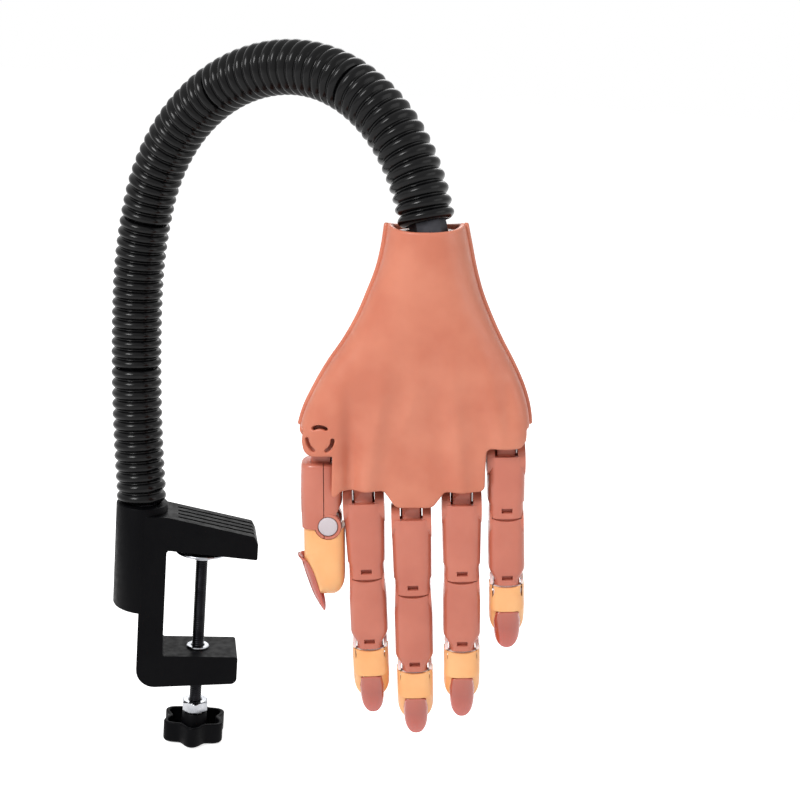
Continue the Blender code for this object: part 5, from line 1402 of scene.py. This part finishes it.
@dataclass
class FingerTip:
    """A fingertip's cover and pale core on its hinge, with the nail pressed into it."""

    shop: Workshop
    name: str
    hinge: Place
    top: float
    half: float
    back: float
    front: float
    length: float
    nail_root: float
    nail_length: float
    nail_half: float
    nail_lift: float = 0.0
    squareness: float = 3.2
    slope: float = math.radians(18.0)
    nail_wall: float = 0.0009
    crown: float = 0.0055
    room: float = 0.0054
    curl: float = 0.0040
    curl_start: float = 0.55
    flare: float = 0.0
    cheek: float = 0.0054
    crescent: tuple = (0.0052, 0.0008)
    crescent_past: float = 0.0004
    stem: tuple = (0.0035, 0.0024, 0.0030, 0.0105)
    dome_length: float = 1.15
    dome_power: float = 2.3
    pole: float = 0.12
    root_bow: float = 0.0016
    root_drop: float = 0.0012
    dish: float = 0.0004
    rows: int = 60
    columns: int = 44

    def crown_drop(self, x: Array) -> Array:
        """The nail's fall from its crown: a share of an ellipse over the tip's half width."""
        share = np.clip(np.abs(x) / self.half, 0.0, 1.0)
        return self.crown * (1.0 - np.sqrt(1.0 - share ** 2))

    def seat(self) -> Place:
        """The frame of the nail's bed, turned to its slope."""
        return self.hinge.moved(0.0, -self.back + self.nail_wall - self.nail_lift,
                                -self.nail_root).turned("X", self.slope)

    def build_cover(self) -> None:
        """The cover: straight sides that close in a dome, a sloped nail bed and a hollow."""
        start, end = -self.length + self.half * self.dome_length, -self.length
        turn = np.linspace(0, math.pi / 2, 15)[:-1]
        shrink = np.maximum(np.cos(turn) ** (2 / self.dome_power), self.pole)
        drop = np.sin(turn) ** (2 / self.dome_power)
        stations = [(self.top, self.half, self.back, self.front)]
        stations += [(z, self.half, self.back, self.front) for z in np.linspace(self.top, start, 5)[1:-1]]
        stations += [(start + (end - start) * d, self.half * s, self.back * s, self.front * s)
                     for s, d in zip(shrink, drop)]
        body = Body(loft(f"{self.name}_tip_skin", oval_rings(stations, self.squareness), self.hinge))
        reach = self.half + SPARE
        room = self.cheek + GAP if self.cheek > 0 else reach
        body.bore(self.room + GAP, -room, room, self.hinge, "X", 60)
        if self.cheek > 0:
            body.bore(END_HINGE.pin_radius + GAP, -reach, reach, self.hinge, "X", 28)
            body.cut(smile("crescent", *self.crescent, self.top, self.back + SPARE,
                           self.room - self.crescent_past, self.hinge))
        if self.top > 0:
            body.cut(wedge("cover_relief", self.hinge, -LOWER_RELIEF, False))
        wide, deep, low, run = self.stem
        body.cut(brick("stem_room", (-wide - GAP, -deep - GAP, -low - run - GAP), (wide + GAP, deep + GAP, 0.0),
                       self.hinge))
        across = np.linspace(-reach, reach, 57)
        edge = np.stack([across, self.crown_drop(across)], axis=1)
        outline = np.vstack([edge, [(reach, -self.back), (-reach, -self.back)]])
        body.cut(slab("nail_bed", outline, -self.length, 0.0, self.seat(), "Z"))
        body.cut(brick("post_hole", (-0.0012, -SPARE, -0.0046), (0.0012, 0.0023, -0.0022), self.seat()))
        body_name = "thumb_tip" if self.name == "thumb" else f"{self.name}_tip"
        self.shop.piece(body.settle(), body_name, (f"{self.name}_tip_cover",), Slot.TIP, 0.0003)

    def build_nail(self) -> None:
        """The nail: along s and across t, an arched plate with a rounded edge and a post.

        Its half width is a superellipse in s, its root line bows up by (1 - t^2), it falls from
        its crown as the bed does, and its thickness thins to the free edge and its sides.
        """
        s = np.linspace(0, 1, self.rows) ** 0.9
        s = 1 - (1 - s) ** 1.6
        turn = np.linspace(0, 2 * math.pi, 2 * self.columns, endpoint=False)
        t = np.cos(turn)
        side = np.sin(turn)
        width = (1 - s ** 4.2) ** (1 / 2.6)
        width = np.maximum(width, 0.02) * (0.86 + 0.14 * np.clip(s * 4, 0, 1)) * self.nail_half
        x = width[:, None] * np.sign(t) * np.abs(t) ** 0.8
        thick = self.nail_wall * (1 - s[:, None] / 2.6) * np.clip((1 - np.abs(t)) * 6, 0, 1) ** 0.5
        lift = np.where(side > 0, thick, 0.0)
        bow = self.root_bow * (1 - s[:, None]) * (1 - t ** 2)
        dish = self.dish * np.sin(math.pi * s)[:, None]
        bend = self.curl * np.clip(s - self.curl_start, 0, 1)[:, None] ** 2
        raised = self.flare * np.exp(-((s / 0.07) ** 2))[:, None]
        y = self.crown_drop(x) - GAP - lift - dish * (1 - t ** 2) + bend - raised
        z = -(self.dish + s[:, None] * self.nail_length + self.root_drop * (1 - s[:, None]) - bow)
        rings = np.stack([x, y, z], axis=-1)
        plate = loft(f"{self.name}_nail_plate", rings, self.seat())
        post = brick("nail_post", (-0.0009, -GAP - self.nail_wall / 2, -0.0043), (0.0009, 0.0020, -0.0025),
                     self.seat())
        nail = merged(f"{self.name}_nail_plate", [plate, post])
        own = np.empty(len(nail.data.vertices) * 3)
        nail.data.vertices.foreach_get("co", own)
        local = self.seat().into(own.reshape(-1, 3))
        along = nail.data.attributes.new("along", "FLOAT", "POINT")
        along.data.foreach_set("value", np.clip(-local[:, 2] / self.nail_length, 0, 1).astype(np.float32))
        self.shop.piece(nail, f"{self.name}_nail", (f"{self.name}_nail",), Slot.NAIL)

    def build_core(self) -> None:
        """The pale core: ears about the end hinge and a stem into the cover."""
        wide, deep, low, run = self.stem
        body = Body(brick(f"{self.name}_pale_core", (-wide, -deep, -low - run), (wide, deep, -low), self.hinge))
        shape_fork(body, self.hinge, END_HINGE, 2 * (self.half - GAP), False)
        for side in (-1, 1):
            ends = sorted((side * (END_HINGE.slot_width / 2 - FIT), side * (self.half + SPARE)))
            body.cut(brick("cheek_room", (ends[0], -self.back, -self.back),
                           (ends[1], self.back, self.top + GAP), self.hinge))
        self.shop.piece(body.settle(), f"{self.name}_tip", (f"{self.name}_tip_core",), Slot.PALE, 0.0003)

    def build(self) -> None:
        """Cover, nail and, on a finger, the core."""
        self.build_cover()
        self.build_nail()
        if self.name != "thumb":
            self.build_core()


# Thumb


@dataclass
class Thumb:
    """The thumb: a swivel on its post, two moulded halves, a headed pin and the tip beyond it."""

    shop: Workshop
    swing: Place
    eye_radius: float = 0.0046
    eye_half: float = 0.0067
    post_radius: float = 0.0022
    neck: tuple = (0.0036, 0.0040, 0.026)
    collar: tuple = (-0.0056, -0.0043, 0.0063)
    top: float = 0.0105
    half_width: float = 0.00755
    half_depth: float = 0.00775
    squareness: float = 3.2
    seam: float = 0.0011
    pin_across: float = 0.0026
    pin_down: float = 0.0347
    cheek_drop: float = 0.0012
    ear_radius: float = 0.0049
    slot_half: float = 0.0040
    tongue_radius: float = 0.0040
    pin_radius: float = 0.0014
    head_radius: float = 0.0036
    head_height: float = 0.0011
    rim: float = 0.0016
    flex: float = math.radians(60.0)

    def __post_init__(self) -> None:
        """Sets the end hinge's frame: its X runs along the pin, toward the back of the hand."""
        self.hinge = self.swing.moved(self.pin_across, 0.0, -self.pin_down).turned("Z", -math.pi / 2)

    def build_swivel(self) -> None:
        """The eye on the post and the flat neck that the two halves close round."""
        half, deep, length = self.neck
        eye = rod_profile(self.eye_radius, -self.eye_half, self.eye_half, 0.0005)
        body = Body(spin("thumb_swivel_eye", eye, self.swing, "Y", 48))
        body.join(brick("neck", (-half, -deep, -length), (half, deep, 0.0), self.swing))
        low, high, wide = self.collar
        body.rod(wide, low, high, self.swing, "Y", 50, 0.0003)
        reach = self.eye_half + SPARE
        body.bore(self.post_radius + GAP, -reach, reach, self.swing, "Y", 32)
        self.shop.piece(body.settle(), "thumb", ("thumb_swivel",), Slot.FINGER, 0.0003)

    def build_half(self, name: str, low: float, high: float) -> None:
        """One half: a superellipse length with a round top rim, an ear, and the room inside it."""
        bottom = -self.pin_down - self.cheek_drop
        turn = np.linspace(0, math.pi / 2, 7)
        rim = [(self.rim * (1 - math.cos(a)), self.rim * (1 - math.sin(a))) for a in turn]
        stations = [(-self.top - fall, self.half_width - inset, *[self.half_depth - inset] * 2)
                    for fall, inset in rim]
        stations += [(z, self.half_width + 0.00025 * math.sin(math.pi * t), self.half_depth, self.half_depth)
                     for t, z in zip(np.linspace(0, 1, 8), np.linspace(-self.top - self.rim, bottom, 8))][1:]
        body = Body(loft(f"{name}_moulding", oval_rings(stations, self.squareness, 96), self.swing))
        body.cut(wedge("flex_relief", self.hinge, self.flex, True))
        body.rod(self.ear_radius, -self.half_depth, self.half_depth, self.hinge, "X", 56)
        far = self.half_width + SPARE
        outside = self.neck[2] + self.pin_down
        body.cut(brick("tongue_slot", (-self.slot_half, -outside, -far),
                       (self.slot_half, outside, self.tongue_radius + GAP), self.hinge))
        half, deep, length = self.neck
        body.cut(brick("neck_room", (-half - GAP, -deep - GAP, -length - GAP), (half + GAP, deep + GAP, 0.0),
                       self.swing))
        body.bore(self.pin_radius + GAP, -far, far, self.hinge, "X", 28)
        body.bore(self.head_radius + GAP, self.half_depth - self.head_height, far, self.hinge, "X", 48)
        if low < 0:
            body.cut(brick("other_side", (high, -outside, -outside), (outside, outside, 0.0), self.swing))
        else:
            body.cut(brick("other_side", (-outside, -outside, -outside), (low, outside, 0.0), self.swing))
        self.shop.piece(body.settle(), "thumb", (name,), Slot.FINGER, 0.00035)

    def build_pin(self) -> None:
        """The pin: a shank and a low domed head that fills its recess."""
        low = self.half_depth - self.head_height + GAP
        high = self.half_depth + GAP
        dome = np.linspace(0, 1, 7)
        profile = [(-self.half_depth + GAP, self.pin_radius), (low, self.pin_radius), (low, self.head_radius)]
        profile += [(high - 0.0005 + 0.0005 * math.sin(a * math.pi / 2),
                     0.0004 + (self.head_radius - 0.0004) * math.cos(a * math.pi / 2) ** 0.6) for a in dome]
        obj = spin("thumb_headed_pin", np.array(profile), self.hinge, "X", 56)
        obj.data.set_sharp_from_angle(angle=math.radians(50.0))
        self.shop.piece(obj, "thumb", ("thumb_pin",), Slot.PALE, finish=self.shop.pin_cap)

    def build_tip(self) -> None:
        """The pale core between the ears, then the cover and its nail."""
        wide, deep, low, run = FingerTip.stem
        body = Body(brick("thumb_pale_core", (-wide, -deep, -low - run), (wide, deep, 0.0), self.hinge))
        half = self.slot_half - GAP
        body.rod(self.tongue_radius, -half, half, self.hinge, "X", 48, 0.0003)
        body.bore(self.pin_radius + GAP, -self.half_depth, self.half_depth, self.hinge, "X", 28)
        self.shop.piece(body.settle(), "thumb_tip", ("thumb_tip_core",), Slot.PALE, 0.0003)
        tip = FingerTip(self.shop, "thumb", self.hinge, -0.0015, 0.0075, 0.0094, 0.0061, 0.0287, 0.0125, 0.0245,
                        0.0056, nail_lift=0.0018, crown=0.0080, room=self.ear_radius, curl=0.0062, flare=0.0007,
                        cheek=0.0)
        tip.build_cover()
        tip.build_nail()

    def build(self) -> None:
        """Every piece of the thumb."""
        self.build_swivel()
        self.build_half("thumb_back_half", -1.0, self.seam - GAP / 2)
        self.build_half("thumb_front_half", self.seam + GAP / 2, 1.0)
        self.build_pin()
        self.build_tip()


# Clamp


@dataclass
class TableClamp:
    """The black table clamp: column and jaws, insert, screw with its disc, nut and star knob."""

    shop: Workshop
    depth: float = 0.0236
    throat: float = 0.0156
    throat_height: float = 0.046
    stem: float = 0.011
    column_half: float = 0.01105
    column_top: float = 0.0205
    column_drop: float = 0.0258
    column_slope: float = 0.0022
    jaw_top: float = 0.0172
    jaw_reach: float = 0.0234
    jaw_underside: tuple = (0.0024, -0.0010)
    jaw_tip: float = 0.0062
    jaw_nose: tuple = (0.0018, 0.0034)
    lower_reach: float = 0.0172
    lower_thickness: float = 0.0125
    foot_drop: float = 0.0025
    foot_radius: float = 0.008
    groove: tuple = (0.0017, 0.0013, 0.0047, 0.0045)
    grooves: int = 4
    bore: float = 0.0078
    bore_floor: float = 0.0032
    screw: float = 0.00265
    screw_tip: float = 0.002
    thread_pitch: float = 0.0009
    thread_depth: float = 0.00028
    thread_rows: int = 6
    screw_sides: int = 30
    disc: float = 0.01175
    disc_thickness: float = 0.0012
    hub: tuple = (0.0045, 0.003)
    insert: float = 0.0044
    flange: tuple = (0.00495, 0.0007)
    nut_flats: float = 0.0108
    nut_top: float = -0.0711
    nut_height: float = 0.005
    nut_edges: tuple = (0.0011, 0.47, 1.6, 0.0004)
    knob: float = 0.0130
    lobe: float = 0.0016
    lobes: int = 6
    knob_turn: float = math.radians(25.0)
    knob_top: float = -0.079
    knob_bottom: float = -0.0885
    knob_wall: float = 0.0020
    knob_floor: float = 0.0026
    boss: float = 0.0058

    def __post_init__(self) -> None:
        """Sets the heights of the lower jaw's two faces."""
        self.lower_top = -self.throat_height
        self.lower_bottom = -self.throat_height - self.lower_thickness

    def build_frame(self) -> None:
        """Side outline carried across the depth, joined to the oval column, then grooved and bored."""
        left = -self.throat - self.stem
        nose_back, nose_rise = self.jaw_nose
        outline = rounded([
            (left, self.jaw_top, 0.0), (left, self.lower_bottom - self.foot_drop, self.foot_radius),
            (self.lower_reach, self.lower_bottom, 0.0028), (self.lower_reach, self.lower_top, 0.0012),
            (-self.throat, self.lower_top, 0.0012), (-self.throat, self.jaw_underside[0], 0.0012),
            (self.jaw_reach, self.jaw_underside[1], 0.0008), (self.jaw_reach, self.jaw_tip, 0.0022),
            (self.jaw_reach - nose_back, self.jaw_tip + nose_rise, 0.0016),
            (-self.throat, self.jaw_top, 0.0)], 8)
        body = Body(slab("black_clamp_frame", outline, -self.depth / 2, self.depth / 2, ROW))
        deep = self.depth / 2 + 0.0001
        column = [(z, self.column_half - inset, deep - inset, deep - inset) for z, inset in (
            (-self.column_drop, 0.0010), (-self.column_drop + 0.0003, 0.0004),
            (-self.column_drop + 0.0010, 0.0), (self.column_top - 0.0006, 0.0),
            (self.column_top - 0.0002, 0.0002), (self.column_top, 0.0006))]
        place = ROW.moved(-self.throat - self.column_half, 0.0, 0.0)
        rings = oval_rings(np.array(column), 2.0, 96)
        rings[:3, :, 2] -= self.column_slope * (0.5 + rings[:3, :, 0] / (2 * self.column_half))
        body.join(loft("column", rings, place))
        body.bore(self.bore, self.bore_floor, self.column_top + SPARE, place, "Z", 48)
        body.bore(self.insert + GAP, self.lower_bottom - SPARE, self.lower_top + SPARE, ROW, "Z", 40)
        width, depth, pitch, start = self.groove
        run = self.jaw_reach - nose_back + self.throat
        slope = math.atan2(self.jaw_top - self.jaw_tip - nose_rise, run)
        top = ROW.moved(-self.throat, 0.0, self.jaw_top).turned("Y", slope)
        for k in range(self.grooves):
            y = (k - (self.grooves - 1) / 2) * pitch
            body.cut(brick(f"groove_{k + 1}", (start, y - width / 2, -depth),
                           (2 * run, y + width / 2, SPARE), top))
        self.shop.piece(body.settle(), "clamp", ("clamp_frame",), Slot.CLAMP, 0.0005, 30.0)

    def build_insert(self) -> None:
        """The bright threaded insert with its flange on the lower jaw."""
        flange, height = self.flange
        bore = self.screw + GAP
        low, high = self.lower_bottom + GAP, self.lower_top + GAP
        profile = [(low, bore), (low, self.insert), (high, self.insert), (high, flange - 0.0001),
                   (high + 0.0001, flange), (high + height - 0.0003, flange), (high + height, flange - 0.0003),
                   (high + height, bore + 0.0002), (high + height - 0.0002, bore)]
        obj = sleeve("jaw_bright_insert", np.array(profile), ROW, "Z", 56)
        obj.data.set_sharp_from_angle(angle=math.radians(40.0))
        self.shop.piece(obj, "clamp", ("jaw_thread_insert",), Slot.CHROME)

    def build_disc(self) -> None:
        """The pressure disc: a flat top, a rounded rim and a hub round the screw's tip."""
        hub, drop = self.hub
        top, low = -GAP, -GAP - self.disc_thickness
        rim = self.disc_thickness / 2
        turn = np.linspace(-math.pi / 2, math.pi / 2, 9)
        edge = [(top - rim - rim * math.sin(a), self.disc - rim + rim * math.cos(a)) for a in turn]
        profile = [(top, 0.002), *edge, (low, hub + 0.0008), (low - 0.0003, hub + 0.0002), (low - 0.0008, hub),
                   (low - drop + 0.0003, hub), (low - drop, hub - 0.0003), (low - drop, self.screw_tip + GAP),
                   (low - GAP / 2, self.screw_tip + GAP)]
        self.shop.piece(spin("bright_pressure_disc", np.array(profile), ROW, "Z", 72), "pressure_disc",
                        ("pressure_disc",), Slot.CHROME)

    def build_screw(self) -> None:
        """The threaded rod: r = radius - depth times a triangle wave of height over pitch less turn."""
        low = self.knob_bottom + GAP
        high = -GAP - self.disc_thickness - self.hub[1] - GAP
        rows = int((high - low) / self.thread_pitch * self.thread_rows)
        height = np.linspace(low, high, rows)
        turn = full_turn(self.screw_sides)
        wave = np.abs(np.mod(height[:, None] / self.thread_pitch - turn / (2 * math.pi), 1.0) * 2 - 1)
        radius = self.screw - self.thread_depth * wave
        rod = loft("clamp_threaded_rod", polar_rings(radius, height, turn), ROW)
        end = rod_profile(self.screw_tip, high - self.screw, -GAP - self.disc_thickness - GAP, 0.0003)
        tip = spin("rod_tip", end, ROW, "Z", self.screw_sides)
        self.shop.piece(merged("clamp_threaded_rod", [rod, tip]), "screw", ("clamp_screw",), Slot.CLAMP,
                        finish=self.shop.dark_steel)

    def build_nut(self) -> None:
        """The lock nut: the lesser of a hexagon's radius, flats / (2 cos a), and a chamfer's cone."""
        turn = full_turn(96)
        hexagon = self.nut_flats / 2 / np.cos(np.mod(turn + math.pi / 6, math.pi / 3) - math.pi / 6)
        low, high = self.nut_top - self.nut_height, self.nut_top
        chamfer, start, slope, mouth = self.nut_edges
        edge = np.linspace(0, chamfer, 6)
        height = np.concatenate([low + edge, (high - edge)[::-1]])
        cone = start * self.nut_flats + np.minimum(height - low, high - height) * slope
        outer = np.minimum(hexagon[None], cone[:, None])
        bore = np.full((4, len(turn)), self.screw + GAP / 2)
        bore[[0, 3]] += mouth
        height = np.concatenate([height, [high, high - mouth, low + mouth, low]])
        obj = wrapped("bright_lock_nut", polar_rings(np.concatenate([outer, bore]), height, turn), ROW)
        obj.data.set_sharp_from_angle(angle=math.radians(24.0))
        self.shop.piece(obj, "screw", ("knob_lock_nut",), Slot.CHROME)

    def build_knob(self) -> None:
        """The star knob: a profile of (height, radius, lobe) turned as r + lobe cos(6 (t - turn))."""
        top, low = self.knob_top, self.knob_bottom
        turn = np.linspace(0, math.pi / 2, 6)
        foot, lip = 0.0016, 0.0007
        inner, lobe, boss = self.knob - self.knob_wall, self.lobe, self.boss
        seat, floor = self.nut_top - self.nut_height - GAP, low + self.knob_floor
        rims = [(end + up * soft * (1 - math.sin(a)), face + out * soft * (1 - math.cos(a)), lobe)
                for end, face, up, out, soft, angles in (
                    (low, self.knob, 1, -1, foot, turn[::-1]), (top, self.knob, -1, -1, lip, turn),
                    (top, inner, -1, 1, lip, turn[::-1])) for a in angles]
        hollow = [(floor + 0.0012, inner - 0.0003, lobe * 0.95), (floor + 0.0004, inner - 0.0011, lobe * 0.8),
                  (floor + 0.0004, boss + 0.0022, lobe * 0.2), (floor + 0.0012, boss + 0.0007, 0.0),
                  (floor + 0.0030, boss, 0.0), (seat - 0.0006, boss - 0.0004, 0.0), (seat, boss - 0.0010, 0.0),
                  (seat, self.screw + GAP, 0.0), (low, self.screw + GAP, 0.0)]
        height, radius, amount = np.array(rims + hollow).T
        angle = full_turn(144)
        radius = radius[:, None] + amount[:, None] * np.cos(self.lobes * (angle - self.knob_turn))
        obj = wrapped("star_hand_knob", polar_rings(radius, height, angle), ROW)
        obj.data.set_sharp_from_angle(angle=math.radians(50.0))
        self.shop.piece(obj, "screw", ("knob",), Slot.CLAMP)

    def build(self) -> None:
        """Every piece of the clamp."""
        self.build_frame()
        self.build_insert()
        self.build_disc()
        self.build_screw()
        self.build_nut()
        self.build_knob()


# Wrist and shell screws


@dataclass
class WristFittings:
    """The pale plug in the wrist and the two screws that hold the shells."""

    shop: Workshop
    hand: Place
    palm: ShellForm
    plug: tuple = (0.0030, 0.025)
    bore: float = 0.0075
    bore_depth: float = 0.013
    side_room: float = 0.0013
    inset: float = 0.0014
    screws: tuple = SHELL_SCREWS
    shank: float = 0.0012
    head: tuple = (0.0026, 0.0016)
    reach: float = 0.004

    def build(self) -> None:
        """A superellipse plug inside the shells, and cross-recessed screws in the palm's wells."""
        rows = []
        for down in np.linspace(*self.plug, 6):
            thumb, little, back, front, squareness = self.palm.sizes(np.array([down]))[0]
            wall = self.palm.wall
            half = (little - thumb) / 2 - wall - self.side_room - self.inset
            x, y = oval(half, -back - wall - self.inset, front - wall - self.inset, squareness)
            rows.append(np.stack([x + (thumb + little) / 2, y, np.full_like(x, -down)], axis=1))
        body = Body(loft("wrist_pale_plug", np.array(rows), self.hand))
        body.bore(self.bore, -self.bore_depth, SPARE, self.hand, "Z", 48)
        self.shop.piece(body.settle(), "hand", ("wrist_plug",), Slot.PALE, 0.0004)
        for k, (x, down) in enumerate(self.screws):
            place = self.hand.moved(x, self.palm.depth_at(x, down), -down)
            radius, height = self.head
            dome = np.linspace(0, math.pi / 2, 6)[:-1]
            profile = [(-height - self.reach, self.shank * 0.7), (-height - self.reach + 0.001, self.shank),
                       (-height, self.shank), (-height, radius)]
            profile += [(-0.0007 + 0.0007 * math.sin(a), radius * math.cos(a) ** 0.5) for a in dome]
            body = Body(spin(f"cross_screw_{k + 1}", np.array(profile), place, "Y", 44))
            for wide, tall in ((0.0014, 0.00035), (0.00035, 0.0014)):
                body.cut(brick("recess", (-wide, -0.0009, -tall), (wide, 0.001, tall), place))
            self.shop.piece(body.settle(), "hand", (f"shell_screw_{k + 1}",), Slot.PIN, 0.0001)


# Main


def main() -> None:
    """Builds the studio and every sub-assembly."""
    logging.basicConfig(level=logging.INFO, format="%(name)s: %(message)s")
    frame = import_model()
    shop = Workshop(frame)
    Studio().build()
    shop.dress_nodes()
    TableClamp(shop).build()
    RibbedHose(shop).build()
    turn = Matrix.Rotation(math.radians(-8.0), 4, "Z") @ Matrix.Rotation(math.radians(-4.3), 4, "Y")
    hand = np.array(turn)
    hand[:3, 3] = shop.hinge("wrist_twist")
    HandShells(shop, Place(hand)).build()
    WristFittings(shop, Place(hand), ShellForm()).build()
    Thumb(shop, Place(hand).moved(THUMB_PIVOT[0], 0.0, -THUMB_PIVOT[1])).build()
    fingers = {
        "index": (0.0157, 0.0142, 0.0133, 0.0143, 0.0072), "middle": (0.0153, 0.0146, 0.0137, 0.0147, 0.0074),
        "ring": (0.0152, 0.0143, 0.0135, 0.0144, 0.0073), "little": (0.0145, 0.0139, 0.0130, 0.0138, 0.0070)}
    tips = {
        "index": (0.002, 0.0069, 0.0068, 0.0068, 0.0195, 0.0086, 0.0185, 0.0046),
        "middle": (0.002, 0.0070, 0.0069, 0.0070, 0.0195, 0.0084, 0.0182, 0.0047),
        "ring": (0.002, 0.0070, 0.0069, 0.0069, 0.0195, 0.0084, 0.0198, 0.0048),
        "little": (0.002, 0.0067, 0.0066, 0.0067, 0.0190, 0.0080, 0.0178, 0.0051)}
    for name, sizes in fingers.items():
        finger = JointedFinger(shop, name, *sizes)
        finger.build(tips[name][1])
        FingerTip(shop, name, finger.end, *tips[name]).build()


if __name__ == "__main__":
    main()
